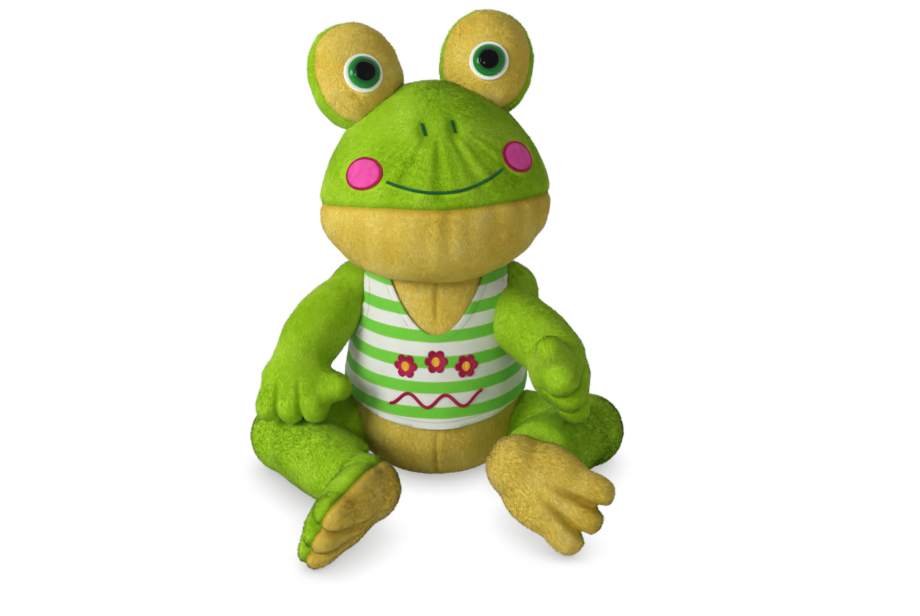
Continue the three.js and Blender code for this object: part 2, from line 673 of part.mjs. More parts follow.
// Legs: a thigh and a shin, each a cover round its filling, that fold at round joints
for (const side of sides) {
  const { name, hip, knee, ankle } = side;
  const kneeAway = side.ahead(side.thigh);
  const ankleAway = ankle.clone().sub(knee).normalize();
  const fold = kneeAway.clone().add(ankleAway).negate().normalize(); // from the shin to the thigh
  const halfFold = kneeAway.clone().negate().sub(ankleAway).normalize();
  const thighSide = beyond(halfFold, halfFold.dot(knee) + seamGap / 2, whole);
  const shinSide = beyond(halfFold.clone().negate(), seamGap / 2 - halfFold.dot(knee), whole);
  const kneeSocket = socket(kneeBallRadius, knee);
  const heelSocket = socket(heelRadius, ankle);

  const thighLine = [-hipBallRadius / 2, thighLength / 2, thighLength + kneeBallRadius / 2]
    .map((reach) => moved(hip, kneeAway, reach));
  const thighForm = limbForm(thighLine, [legRadius * legEndShare, legRadius, legRadius]);
  const torso = torsoForm.solid(torsoSteps, seamGap);
  const hipBore = rod(hipBallRadius / 3, 0, overrun, kneeAway.clone().negate()).translate(hip.toArray());
  const thigh = thighForm.solid(limbSteps).intersect(thighSide).subtract(torso).add(ball(hipBallRadius, hip));
  const thighHollow = (wall) => thighForm.solid(limbHollowSteps, -wall);
  const thighCover = thigh
    .subtract(kneeSocket).subtract(thighHollow(pileWall)).subtract(hipBore).subtract(floor);
  const thighCore = thighHollow(pileWall + seamGap).intersect(thighSide).subtract(kneeSocket);
  piece(frog, `thigh_cover_${name}`, thighCover, plushGreen);
  piece(frog, `thigh_filling_${name}`, thighCore, filling);

  const shinForm = limbForm(
    [moved(knee, ankleAway, -kneeBallRadius / 2), knee, moved(knee, ankleAway, shinLength / 2), ankle],
    [legRadius * legEndShare, legRadius, legRadius, legRadius * legEndShare],
  );
  const kneeBore = rod(kneeBallRadius / 3, 0, overrun, halfFold).translate(knee.toArray());
  const shinRod = shinForm.solid(limbSteps).intersect(shinSide).intersect(side.ankleSide);
  const shin = shinRod.add(ball(kneeBallRadius, knee)).subtract(heelSocket);
  const shinHollow = (wall) => shinForm.solid(limbHollowSteps, -wall);
  const shinCover = shin.subtract(shinHollow(pileWall)).subtract(kneeBore).subtract(floor);
  piece(frog, `shin_cover_${name}`, shinCover, plushGreen);
  const shinCore = shinHollow(pileWall + seamGap).intersect(shinSide).intersect(side.ankleSide);
  piece(frog, `shin_filling_${name}`, shinCore.subtract(heelSocket), filling);
  side.leg = union([thigh, shin, side.foot]);
}

// Arms: a cover that ends in a hand with three fingers and a thumb, and its filling
const dressed = torsoForm.solid(torsoSteps, knitThickness + 3 * seamGap);
const palmForm = padForm(new THREE.Vector3(palmHalfWidth, palmHalfLength, palmHalfThickness), palmFullness);
for (const side of sides) {
  const { name, sign, shoulder, knee } = side;
  const rest = moved(knee, side.shinAhead, side.handAlong);
  const frame = frameIn(frog, rest, mirrored(side.handTurn, sign));
  const inward = new THREE.Vector3(-sign, 0, 0);
  const fingers = [-1, 0, 1].map((step) => {
    const root = new THREE.Vector3(step * fingerSpread * fingerRootShare, 0, 0);
    const reach = fingerReach + fingerRadius * (1 - outerFingerShare * Math.abs(step));
    const end = new THREE.Vector3(step * fingerSpread, -reach, -fingerRadius / 3);
    return limbForm([root, end], [fingerRadius, fingerRadius]).solid(fingerSteps);
  });
  const thumbEnd = moved(new THREE.Vector3(0, -thumbRadius / 2, 0), inward, thumbReach + thumbRadius);
  const thumb = limbForm([new THREE.Vector3(), thumbEnd], [thumbRadius, thumbRadius]).solid(fingerSteps);
  const hand = union([palmForm.solid(footSteps), ...fingers, thumb]);
  restOn(frame, hand, side.leg);

  const [wristBack, wristUp] = wristShares;
  const wristIn = new THREE.Vector3(0, palmHalfLength * wristBack, palmHalfThickness * wristUp);
  const wrist = frame.localToWorld(wristIn);
  const palmIn = frame.localToWorld(new THREE.Vector3(0, -palmHalfLength / 3, 0));
  const elbow = shoulder.clone().lerp(wrist, elbowShare).setX(shoulder.x + sign * side.elbowOut);
  const armForm = limbForm(
    [shoulder, elbow, wrist, palmIn],
    [shoulderBallRadius * armEndShares[0], upperArmRadius, wristRadius, palmHalfThickness * armEndShares[1]],
  );
  const bore = rod(shoulderBallRadius / 3, 0, overrun, inward).translate(shoulder.toArray());
  const hollow = (wall) => armForm.solid(limbHollowSteps, -wall);
  const skin = armForm.solid(limbSteps).subtract(dressed).add(ball(shoulderBallRadius, shoulder));
  const cover = skin.add(carried(hand, frame, frog)).subtract(hollow(pileWall)).subtract(bore);
  piece(frog, `arm_cover_${name}`, cover, plushGreen);
  piece(frog, `arm_filling_${name}`, hollow(pileWall + seamGap).subtract(dressed), filling);
}

// Vest: front and back panels that leave the arms and the neck free, seen from the front as outlines
function vestOutline(hem, neckline, neckShare) {
  const side = torsoHalfWidth + overrun / 4;
  const armpit = torsoHalfWidth - knitThickness;
  const strapInside = strapOutside - strapWidth;
  const strapMiddle = strapOutside - strapWidth / 3;
  const armholeBend = [strapOutside - strapWidth / 4, armholeHeight + strapWidth / 4];
  const shape = new THREE.Shape();
  shape.moveTo(-side, hem + hemSideRise);
  shape.quadraticCurveTo(-side / 2, hem, 0, hem);
  shape.quadraticCurveTo(side / 2, hem, side, hem + hemSideRise);
  shape.lineTo(side, armholeHeight);
  shape.lineTo(armpit, armholeHeight);
  shape.quadraticCurveTo(...armholeBend, strapMiddle, shoulderHeight);
  shape.lineTo(strapOutside, vestTop + overrun);
  shape.lineTo(strapInside, vestTop + overrun);
  shape.lineTo(strapInside, vestTop);
  shape.quadraticCurveTo(strapInside * neckShare, neckline, 0, neckline);
  shape.quadraticCurveTo(-strapInside * neckShare, neckline, -strapInside, vestTop);
  shape.lineTo(-strapInside, vestTop + overrun);
  shape.lineTo(-strapOutside, vestTop + overrun);
  shape.lineTo(-strapMiddle, shoulderHeight);
  shape.quadraticCurveTo(-armholeBend[0], armholeBend[1], -armpit, armholeHeight);
  shape.lineTo(-side, armholeHeight);
  return shape;
}
function prismAhead(shape, from, to) {
  const options = { depth: to - from, curveSegments: outlineSteps, bevelEnabled: false };
  return solidOf(new THREE.ExtrudeGeometry(shape, options).translate(0, 0, from).rotateX(Math.PI / 2));
}
{
  const frontOutline = vestOutline(hemHeight, necklineHeight, necklineShare);
  const backOutline = vestOutline(hemHeight + hemSideRise / 2, napelineHeight, napelineShare);
  const frontCut = prismAhead(frontOutline, seamGap / 2, bellyReach + overrun);
  const backCut = prismAhead(backOutline, -rumpReach - overrun, -seamGap / 2);
  const panel = (outline) =>
    torsoForm.layer(torsoSteps, seamGap, seamGap + knitThickness, outline).subtract(sockets);
  piece(frog, "vest_front", panel(frontCut), knit);
  piece(frog, "vest_back", panel(backCut), knit);
}

// Embroidery: a row of blossoms over a wavy line of stitches
{
  const from = 2 * seamGap + knitThickness;
  const sewn = (name, shape, material) => {
    const outline = prismAhead(shape, sideSeamForward, bellyReach + overrun);
    piece(frog, name, torsoForm.layer(torsoSteps, from, from + embroideryRise, outline), material);
  };
  const blossom = (x, z) => {
    const shape = new THREE.Shape();
    const count = blossomPetals * petalPoints;
    const points = Array.from({ length: count }, (_, i) => {
      const angle = (2 * Math.PI * i) / count;
      const reach = blossomRadius * (1 - petalShare * (1 - Math.cos(blossomPetals * angle)));
      return new THREE.Vector2(x + reach * Math.cos(angle), z + reach * Math.sin(angle));
    });
    shape.setFromPoints(points);
    shape.holes.push(new THREE.Path().absarc(x, z, blossomCentreRadius + seamGap, 0, 2 * Math.PI));
    return shape;
  };
  ["right", "middle", "left"].forEach((name, i) => {
    const x = (i - 1) * blossomSpread;
    const z = blossomHeight + (i === 1 ? blossomRadius / 2 : 0);
    sewn(`blossom_${name}`, blossom(x, z), crimsonThread);
    const disc = new THREE.Shape().absarc(x, z, blossomCentreRadius, 0, 2 * Math.PI);
    sewn(`blossom_centre_${name}`, disc, yellowThread);
  });
  const waveAt = (share, lift) => new THREE.Vector2(
    waveHalfWidth * share,
    waveHeight + waveDepth * Math.sin(waveTurns * Math.PI * share) + lift,
  );
  const shares = Array.from({ length: wavePoints + 1 }, (_, i) => (2 * i) / wavePoints - 1);
  const wave = new THREE.Shape([
    ...shares.map((share) => waveAt(share, -waveThickness / 2)),
    ...shares.toReversed().map((share) => waveAt(share, waveThickness / 2)),
  ]);
  sewn("stitched_wave", wave, crimsonThread);
}

export default frog;
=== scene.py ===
"""A stuffed plush frog that sits in a striped vest, on a pale floor in soft studio light.

Lengths are in metres unless a name says otherwise. The frog faces -Y, its left side is +X, and Z
is up. Left and right are the frog's own.
"""

import logging
import math
from contextlib import contextmanager
from dataclasses import dataclass, field
from enum import Enum
from typing import Iterator, Union

import bmesh
import bpy
import numpy as np
from mathutils import Matrix, Vector, noise
from mathutils.bvhtree import BVHTree


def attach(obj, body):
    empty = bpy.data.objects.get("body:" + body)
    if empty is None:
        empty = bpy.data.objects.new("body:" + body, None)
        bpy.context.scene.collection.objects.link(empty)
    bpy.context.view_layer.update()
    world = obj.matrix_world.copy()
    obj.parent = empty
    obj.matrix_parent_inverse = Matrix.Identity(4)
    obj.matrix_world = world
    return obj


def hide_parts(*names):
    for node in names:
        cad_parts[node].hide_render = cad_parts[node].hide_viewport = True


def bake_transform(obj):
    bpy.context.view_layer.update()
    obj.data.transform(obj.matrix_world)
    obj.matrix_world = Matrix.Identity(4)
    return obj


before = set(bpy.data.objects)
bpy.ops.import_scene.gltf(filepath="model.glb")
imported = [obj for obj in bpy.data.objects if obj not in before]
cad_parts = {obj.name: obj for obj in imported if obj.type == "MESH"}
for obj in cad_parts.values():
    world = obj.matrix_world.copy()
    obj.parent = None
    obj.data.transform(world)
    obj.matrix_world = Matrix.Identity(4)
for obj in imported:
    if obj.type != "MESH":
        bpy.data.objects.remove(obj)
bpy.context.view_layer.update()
MM = 0.001
log = logging.getLogger("frog")

Colour = tuple[float, float, float]
Term = Union["Signal", float]


class Side(Enum):
    """The frog's own sides, with the sign of X on each."""

    RIGHT = -1
    LEFT = 1

    @property
    def word(self) -> str:
        """The side as it stands in the names of pieces."""
        return self.name.lower()


@dataclass(frozen=True)
class Place:
    """A point and a turn, in whose own axes a sub-assembly is laid out."""

    matrix: Matrix

    @classmethod
    def laid(cls, point_mm: tuple, turn_deg: tuple = (0, 0, 0), within: "Place" = None) -> "Place":
        """A place given by a point and by turns about X, Y and Z.

        Args:
            point_mm: where its origin lies, in millimetres.
            turn_deg: the turns about X, Y and Z, the last about Z.
            within: the place in whose axes the point and the turns are given.

        Returns:
            The place in the frame's axes.
        """
        x, y, z = (math.radians(angle) for angle in turn_deg)
        turn = Matrix.Rotation(z, 4, "Z") @ Matrix.Rotation(x, 4, "X") @ Matrix.Rotation(y, 4, "Y")
        matrix = Matrix.Translation(Vector(point_mm) * MM) @ turn
        return cls(within.matrix @ matrix if within else matrix)

    def at(self, x: float, y: float, z: float) -> Vector:
        """The point at these millimetres along the place's own axes."""
        return self.matrix @ (Vector((x, y, z)) * MM)

    def way(self, x: float, y: float, z: float) -> Vector:
        """The unit direction along the place's own axes."""
        return (self.matrix.to_3x3() @ Vector((x, y, z))).normalized()

    def inside(self, points: np.ndarray) -> np.ndarray:
        """Points of the frame in the place's own axes, in millimetres."""
        back = np.array(self.matrix.inverted())
        return (points @ back[:3, :3].T + back[:3, 3]) / MM


def hexed(text: str) -> Colour:
    """A colour written as on a paint chart, in the linear values that shaders take."""
    parts = [int(text[i:i + 2], 16) / 255 for i in (1, 3, 5)]
    return tuple(c / 12.92 if c <= 0.04045 else ((c + 0.055) / 1.055) ** 2.4 for c in parts)


class Signal:
    """A socket of a material, on which Python's operators add Math nodes."""

    def __init__(self, paint: "Paint", socket: bpy.types.NodeSocket) -> None:
        """Wraps a socket of the material that the paint builds."""
        self.paint = paint
        self.socket = socket

    def __add__(self, other: Term) -> "Signal":
        """The sum with another signal or a number."""
        return self.paint.maths("ADD", self, other)

    def __sub__(self, other: Term) -> "Signal":
        """The difference from another signal or a number."""
        return self.paint.maths("SUBTRACT", self, other)

    def __rsub__(self, other: Term) -> "Signal":
        """A number less the signal."""
        return self.paint.maths("SUBTRACT", other, self)

    def __mul__(self, other: Term) -> "Signal":
        """The product with another signal or a number."""
        return self.paint.maths("MULTIPLY", self, other)

    __radd__ = __add__
    __rmul__ = __mul__

    def part(self, low: float, high: float) -> "Signal":
        """The share of the way from a low value to a high one, held between 0 and 1."""
        return self.paint.node(
            "ShaderNodeMapRange", {"clamp": True}, {0: self, 1: low, 2: high, 3: 0.0, 4: 1.0})


class Paint:
    """Builds the nodes of one material or world."""

    def __init__(self, name: str, kind: str = "materials") -> None:
        """Starts a new material, or another kind of block, with an empty tree."""
        self.block = getattr(bpy.data, kind).new(name)
        self.block.use_nodes = True
        self.tree = self.block.node_tree
        self.tree.nodes.clear()

    def node(self, kind: str, settings: dict = {}, inputs: dict = {},
             output: Union[int, str] = 0) -> Signal:
        """Adds a node.

        Args:
            kind: the node's type.
            settings: its settings, which are set first.
            inputs: the values or links of its sockets, by name or number, and colours as on a
                paint chart.
            output: the number or name of the socket that is passed on.

        Returns:
            The chosen output.
        """
        made = self.tree.nodes.new(kind)
        for key, value in settings.items():
            setattr(made, key, value)
        for key, value in inputs.items():
            socket = made.inputs[key]
            if isinstance(value, Signal):
                self.tree.links.new(value.socket, socket)
            elif isinstance(value, str):
                socket.default_value = (*hexed(value), 1.0)
            else:
                socket.default_value = value
        return Signal(self, made.outputs[output] if made.outputs else None)

    def maths(self, operation: str, *terms: Term) -> Signal:
        """A Math node on signals and numbers."""
        return self.node("ShaderNodeMath", {"operation": operation}, dict(enumerate(terms)))

    def mixed(self, share: Term, first: Union[Signal, str], second: Union[Signal, str],
              blend: str = "MIX") -> Signal:
        """A colour between two, the first at share 0 and the second at share 1."""
        return self.node("ShaderNodeMix", {"data_type": "RGBA", "blend_type": blend},
                         {0: share, 6: first, 7: second}, 2)

    def bump(self, strength: float, distance: float, height: Signal) -> Signal:
        """The surface's direction where a height in metres roughens it."""
        return self.node("ShaderNodeBump", {}, {
            "Strength": strength, "Distance": distance, "Height": height})

    def seen(self) -> Signal:
        """1 for the camera's rays and for those in reflections and through glass, or else 0."""
        camera, glossy, through = (
            self.node("ShaderNodeLightPath", {}, {}, f"Is {ray} Ray")
            for ray in ("Camera", "Glossy", "Transmission"))
        return (camera + glossy + through).part(0.0, 1.0)

    def spot(self, scale: tuple = (1.0, 1.0, 1.0)) -> Signal:
        """The place on the object, stretched by a scale along its axes."""
        where = self.node("ShaderNodeTexCoord", {}, {}, 3)
        return self.node("ShaderNodeMapping", {"vector_type": "POINT"}, {0: where, "Scale": scale})

    def grain(self, where: Signal, scale: float, detail: float = 2.0, rough: float = 0.5) -> Signal:
        """Soft noise between about 0.2 and 0.8 at so many waves a metre."""
        return self.node("ShaderNodeTexNoise", {}, {
            "Vector": where, "Scale": scale, "Detail": detail, "Roughness": rough})

    def stored(self, name: str) -> Signal:
        """A value that the mesh keeps at each point."""
        return self.node("ShaderNodeAttribute", {"attribute_name": name}, {}, 2)

    def surface(self, constants: dict, varying: dict) -> bpy.types.Material:
        """Ends the material in one shader.

        Args:
            constants: values that are the same all over, by socket.
            varying: signals that change over the surface, by socket.

        Returns:
            The material.
        """
        shader = self.node("ShaderNodeBsdfPrincipled", {}, {**constants, **varying})
        self.node("ShaderNodeOutputMaterial", {}, {"Surface": shader})
        return self.block


@dataclass(frozen=True)
class PileFinish:
    """Short brushed plush, whose pile lies in streaks and lighter and deeper patches."""

    name: str
    light: str
    middle: str
    deep: str
    shadow: str
    nap: tuple = (1.0, 1.0, 0.28)
    streaks: float = 170.0
    darkest: float = 0.75
    lightest: float = 2.9

    def material(self) -> bpy.types.Material:
        """The plush as a node material."""
        paint = Paint(self.name)
        brushed = paint.spot(self.nap)
        patches = paint.grain(paint.spot((1.0, 1.0, 0.7)), 26.0, 3.0, 0.6)
        streaks = paint.grain(brushed, self.streaks, 4.0, 0.65)
        tufts = paint.grain(brushed, 900.0, 2.0, 0.7)
        crease = paint.stored("crease")
        lay = (patches * 0.7 + streaks * 0.3).part(0.34, 0.62)
        colour = paint.mixed(lay, self.deep, self.middle)
        lifted = (streaks * 0.6 + tufts * 0.4).part(0.52, 0.74)
        colour = paint.mixed(lifted * 0.4, colour, self.light)
        colour = paint.mixed(tufts.part(0.45, 0.25) * 0.2, colour, self.shadow)
        # Painted shade: the plush deepens towards its shadow colour by the stored crease value, in
        # seams, clefts and pits.
        colour = paint.mixed((crease * 0.75).part(0.0, 1.0), colour, self.shadow)
        bump = paint.bump(0.55, 0.0016, tufts * 0.5 + streaks * 0.9)
        return paint.surface(
            {"Sheen Weight": 0.04, "Sheen Roughness": 0.45, "Specular IOR Level": 0.04},
            {"Base Color": colour, "Roughness": 0.82 + streaks * 0.15, "Normal": bump})

    def shades(self, count: int = 6) -> list[bpy.types.Material]:
        """The standing tufts' shades, from the deepest to the lightest.

        Args:
            count: how many.

        Returns:
            One material for each shade, which a tuft takes whole, as a dyed fibre is one colour.
            The deeper shades also give the painted shade of tufts in seams, clefts and pits.
        """
        stops = [hexed(text) for text in (self.shadow, self.deep, self.middle, self.light)]
        made = []
        for step in range(count):
            spot = self.darkest + (self.lightest - self.darkest) * step / (count - 1)
            low = min(int(spot), 2)
            share = spot - low
            colour = tuple(a + (b - a) * share for a, b in zip(stops[low], stops[low + 1]))
            paint = Paint(f"{self.name}_tuft_{step + 1}")
            made.append(paint.surface({
                "Base Color": (*colour, 1.0), "Roughness": 0.85, "Sheen Weight": 0.05,
                "Sheen Roughness": 0.5, "Specular IOR Level": 0.04}, {}))
        return made


@dataclass(frozen=True)
class KnitFinish:
    """Fine jersey knitted in cross stripes."""

    name: str
    first: str
    second: str
    line: str
    shadow: str = "#8f9a80"
    stitch: str = "#7c8f62"
    pitch: float = 23.9 * MM
    start: float = 57.6 * MM
    wale: float = 1.0 * MM
    course: float = 0.9 * MM
    needle: float = 2.6 * MM
    row: float = 6.2 * MM

    def material(self) -> bpy.types.Material:
        """The knit as a node material, whose stripes follow the height stored on the cloth."""
        paint = Paint(self.name)
        height = paint.stored("stripe")
        along = paint.stored("along")
        turn = (height - self.start) * (1 / self.pitch)
        share = paint.maths("FRACT", turn)
        half = paint.maths("ABSOLUTE", share - 0.5)
        edge = paint.maths("ABSOLUTE", half - 0.27)
        wales = paint.maths("SINE", along * (2 * math.pi / self.wale))
        courses = paint.maths("SINE", height * (2 * math.pi / self.course))
        loops = wales * courses * 0.5 + 0.5
        fibre = paint.grain(paint.spot(), 1400.0, 3.0, 0.7)
        worn = paint.grain(paint.spot(), 60.0, 3.0, 0.6)
        stripe = half.part(0.263, 0.277)
        colour = paint.mixed(stripe, self.first, self.second)
        colour = paint.mixed(edge.part(0.035, 0.005) * 0.5, colour, self.line)
        shade = (loops * 0.2 + fibre * 0.5 + worn * 0.3).part(0.25, 0.75)
        dark = paint.mixed((1 - shade) * 0.3, colour, self.shadow, "MULTIPLY")
        inside = paint.stored("edge")
        needle = paint.maths("SINE", (along + height) * (2 * math.pi / self.needle)).part(-0.2, 0.2)
        row = paint.maths("ABSOLUTE", inside - self.row).part(0.75 * MM, 0.25 * MM)
        seam = paint.maths("MAXIMUM", row * needle * 0.7, paint.stored("crease") * 0.6)
        seam = paint.maths("MAXIMUM", seam, inside.part(0.9 * MM, 0.0) * 0.35)
        dark = paint.mixed(seam, dark, self.stitch)
        bump = paint.bump(0.5, 0.0006, loops * 0.7 + fibre * 0.5 - seam)
        return paint.surface(
            {"Sheen Weight": 0.2, "Sheen Roughness": 0.5, "Specular IOR Level": 0.2},
            {"Base Color": dark, "Roughness": 0.8 + fibre * 0.15, "Normal": bump})


@dataclass(frozen=True)
class ThreadFinish:
    """Twisted embroidery thread with a silky shine."""

    name: str
    light: str
    deep: str

    def material(self) -> bpy.types.Material:
        """The thread as a node material."""
        paint = Paint(self.name)
        strand = paint.grain(paint.spot(), 900.0, 3.0, 0.6)
        patch = paint.grain(paint.spot(), 90.0, 2.0, 0.5)
        colour = paint.mixed((strand * 0.6 + patch * 0.4).part(0.3, 0.7), self.deep, self.light)
        return paint.surface({"Specular IOR Level": 0.2}, {
            "Base Color": colour, "Roughness": 0.42 + strand * 0.2,
            "Normal": paint.bump(0.4, 0.0003, strand)})


@dataclass(frozen=True)
class FeltFinish:
    """Pressed felt or short velvet with a fine matted grain."""

    name: str
    light: str
    deep: str

    def material(self) -> bpy.types.Material:
        """The felt as a node material."""
        paint = Paint(self.name)
        mat = paint.grain(paint.spot(), 1500.0, 4.0, 0.7)
        patch = paint.grain(paint.spot(), 120.0, 3.0, 0.6)
        colour = paint.mixed((mat * 0.5 + patch * 0.5).part(0.35, 0.65), self.deep, self.light)
        return paint.surface(
            {"Sheen Weight": 0.1, "Sheen Roughness": 0.4, "Specular IOR Level": 0.1},
            {"Base Color": colour, "Roughness": 0.85 + patch * 0.1,
             "Normal": paint.bump(0.5, 0.0005, mat)})


@dataclass(frozen=True)
class PlasticFinish:
    """Moulded plastic, polished or clear-coated, with the faint unevenness of a moulding."""

    name: str
    colour: str
    deep: str
    gloss: float = 0.08
    shine: float = 0.22
    ring: float = 0.0

    def material(self) -> bpy.types.Material:
        """The plastic as a node material."""
        paint = Paint(self.name)
        uneven = paint.grain(paint.spot(), 45.0, 2.0, 0.5)
        share = paint.stored("crease").part(0.62, 1.0) if self.ring else uneven.part(0.3, 0.7)
        colour = paint.mixed(share, self.colour, self.deep)
        return paint.surface(
            {"Specular IOR Level": self.shine},
            {"Base Color": colour, "Roughness": self.gloss + uneven * 0.04})


def read_rows(items: bpy.types.bpy_prop_collection, name: str, wide: int,
              kind: type = np.float32) -> np.ndarray:
    """A property of each of a mesh's items, one row each.

    Args:
        items: the points, edges or other items.
        name: the property.
        wide: how many numbers it has.
        kind: the kind of number.

    Returns:
        The rows.
    """
    flat = np.zeros(len(items) * wide, kind)
    items.foreach_get(name, flat)
    return flat.reshape(-1, wide)


def coordinates(mesh: bpy.types.Mesh) -> np.ndarray:
    """The mesh's points, one row each."""
    return read_rows(mesh.vertices, "co", 3).astype(float)


def facing(mesh: bpy.types.Mesh) -> np.ndarray:
    """The unit normal at each of the mesh's points."""
    return read_rows(mesh.vertex_normals, "vector", 3).astype(float)


def kept_value(mesh: bpy.types.Mesh, name: str) -> np.ndarray:
    """The number stored at each of the mesh's points."""
    return read_rows(mesh.attributes[name].data, "value", 1)[:, 0]


def reshape(mesh: bpy.types.Mesh, points: np.ndarray) -> None:
    """Puts the mesh's points where these rows say."""
    mesh.vertices.foreach_set("co", points.astype(np.float32).ravel())
    mesh.update()


def keep_value(mesh: bpy.types.Mesh, name: str, values: np.ndarray) -> None:
    """Stores a number at each of the mesh's points, for its material."""
    layer = mesh.attributes.get(name) or mesh.attributes.new(name, "FLOAT", "POINT")
    layer.data.foreach_set("value", values.astype(np.float32))


def relax(mesh: bpy.types.Mesh, times: int, strength: float = 0.5, swell: float = 0.0) -> None:
    """Smooths the mesh, a share of the way to each point's neighbours at a time.

    Args:
        mesh: the mesh.
        times: how often.
        strength: the share of the way.
        swell: how far each point goes back out along its normal in all, in metres.
    """
    ends = read_rows(mesh.edges, "vertices", 2, np.int32)
    first, second = ends.T
    points = coordinates(mesh)
    count = np.bincount(ends.ravel(), minlength=len(points))[:, None]
    for _ in range(times):
        total = np.zeros_like(points)
        np.add.at(total, first, points[second])
        np.add.at(total, second, points[first])
        points += strength * (total / np.maximum(count, 1) - points)
    reshape(mesh, points)
    if swell:
        reshape(mesh, points + facing(mesh) * swell)


def rolling(points: np.ndarray, scale: float, seed: float = 0.0) -> np.ndarray:
    """Soft noise from -1 to 1 at each point, with so many waves a metre."""
    shift = Vector((seed, seed * 0.7, seed * 1.3))
    return np.array([noise.noise(Vector(p) * scale + shift) for p in points])


def evaluated(obj: bpy.types.Object) -> None:
    """Applies the object's modifiers to its mesh."""
    depsgraph = bpy.context.evaluated_depsgraph_get()
    mesh = bpy.data.meshes.new_from_object(obj.evaluated_get(depsgraph), depsgraph=depsgraph)
    obj.modifiers.clear()
    obj.data = mesh


@contextmanager
def editing(mesh: bpy.types.Mesh) -> Iterator[bmesh.types.BMesh]:
    """The mesh as a bmesh, which is written back at the end."""
    bm = bmesh.new()
    bm.from_mesh(mesh)
    yield bm
    bm.to_mesh(mesh)
    bm.free()


def shown(bm: bmesh.types.BMesh, name: str) -> bpy.types.Object:
    """A bmesh as a smooth object at the origin."""
    mesh = bpy.data.meshes.new(name)
    for face in bm.faces:
        face.smooth = True
    bm.to_mesh(mesh)
    bm.free()
    obj = bpy.data.objects.new(name, mesh)
    bpy.context.scene.collection.objects.link(obj)
    return obj


def fitted(piece: bpy.types.Object, looks: dict, slot: str, body: str, *nodes: str) -> None:
    """Gives a piece its finish, its solids' place and the body that it moves with.

    Args:
        piece: the piece.
        looks: the materials by the record's slots.
        slot: the slot that the piece's material stands for.
        body: the body that it rides on, or nothing where it rides on none.
        nodes: the solids whose place it takes.
    """
    piece.data.materials.clear()
    piece.data.materials.append(looks[slot])
    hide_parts(*nodes)
    if body:
        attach(piece, body)
    log.info("%s, %d points", piece.name, len(piece.data.vertices))


def tree_of(obj: bpy.types.Object) -> BVHTree:
    """The piece's surface, for laying other pieces on it."""
    bm = bmesh.new()
    bm.from_mesh(obj.data)
    tree = BVHTree.FromBMesh(bm)
    bm.free()
    return tree


def beside(spots: np.ndarray, start: np.ndarray, end: np.ndarray) -> tuple[np.ndarray, np.ndarray]:
    """How far along a straight line, from 0 to 1, it is nearest to each spot, and how near."""
    way = end - start
    share = np.clip((spots - start) @ way / max(way @ way, 1e-9), 0, 1)
    return share, np.linalg.norm(spots - start - share[:, None] * way, axis=1)


@dataclass(frozen=True)
class Groove:
    """A line along which the cover is drawn in, as by a seam or a row of stitches."""

    points: tuple
    depth: float
    width: float

    def draw(self, spots: np.ndarray) -> np.ndarray:
        """How strongly the line draws at each spot, from 0 to 1."""
        nearest = np.full(len(spots), 1e9)
        for start, end in zip(self.points, self.points[1:]):
            nearest = np.minimum(nearest, beside(spots, np.array(start), np.array(end))[1])
        return np.exp(-((nearest / self.width) ** 2))


@dataclass(frozen=True)
class Seam:
    """A flat seam across a stuffed body, where the cover is pinched in and puckers."""

    point: Vector
    outward: Vector
    depth: float = 2.2 * MM
    width: float = 4.5 * MM
    pucker: float = 0.7 * MM
    pitch: float = 9.0 * MM
    # How far its end climbs, and over how many millimetres of the place's -X side.
    climb: float = 0.0
    climb_over_mm: float = 112.0
    place: Union[Place, None] = None

    def climbs(self, spots: np.ndarray) -> np.ndarray:
        """How far the seam has risen off its plane beside each spot, on the place's -X side."""
        if not self.climb:
            return np.zeros(len(spots))
        share = np.clip(-self.place.inside(spots)[:, 0] / self.climb_over_mm, 0, 1)
        share = 1.08 * share ** 2 / (share + 0.08)
        return self.climb * (1 - (1 - share) ** 1.6)

    def heights(self, spots: np.ndarray) -> np.ndarray:
        """How far each spot lies past the seam."""
        return (spots - np.array(self.point)) @ np.array(self.outward) - self.climbs(spots)

    def halves(self, whole: bpy.types.Object, above: str, below: str) -> list[bpy.types.Object]:
        """A stuffed form's two pieces, which meet in the seam."""
        flat, spots = whole.copy(), coordinates(whole.data)
        flat.data = whole.data.copy()
        up = np.array(self.outward)
        reshape(flat.data, spots - np.outer(self.climbs(spots), up))
        pieces = [StuffedBody.cut(flat, name, [(self.point, way)])
                  for name, way in ((above, -self.outward), (below, self.outward))]
        for piece in pieces:
            spots = coordinates(piece.data)
            reshape(piece.data, spots + np.outer(self.climbs(spots), up))
        bpy.data.objects.remove(flat)
        return pieces

    def part(self, whole: bpy.types.Object, looks: dict, body: str, fill: float,
             parts: dict[str, tuple]) -> None:
        """Cuts a stuffed form in two along the seam, and fits both pieces.

        Args:
            whole: the stuffed form.
            looks: the materials by the record's slots.
            body: the body that both pieces ride on.
            fill: how firmly they are stuffed; not used.
            parts: for the piece past the seam and then for the other, its name, and its slot and
                its solids.
        """
        for piece, (slot, *nodes) in zip(self.halves(whole, *parts), parts.values()):
            fitted(piece, looks, slot, body, *nodes)

    def draw(self, spots: np.ndarray) -> np.ndarray:
        """How strongly the seam draws at each spot, from 0 to 1."""
        return np.exp(-((self.heights(spots) / self.width) ** 2))

    def puckers(self, spots: np.ndarray) -> np.ndarray:
        """How far the cover bulges between the seam's tight places, in metres."""
        fade = np.exp(-((self.heights(spots) / (3.2 * self.width)) ** 2))
        near = fade > 0.02
        wave = np.zeros(len(spots))
        flat = spots - np.outer(self.heights(spots), np.array(self.outward))
        wave[near] = rolling(flat[near], 1 / self.pitch, 3.1)
        return self.pucker * fade * wave


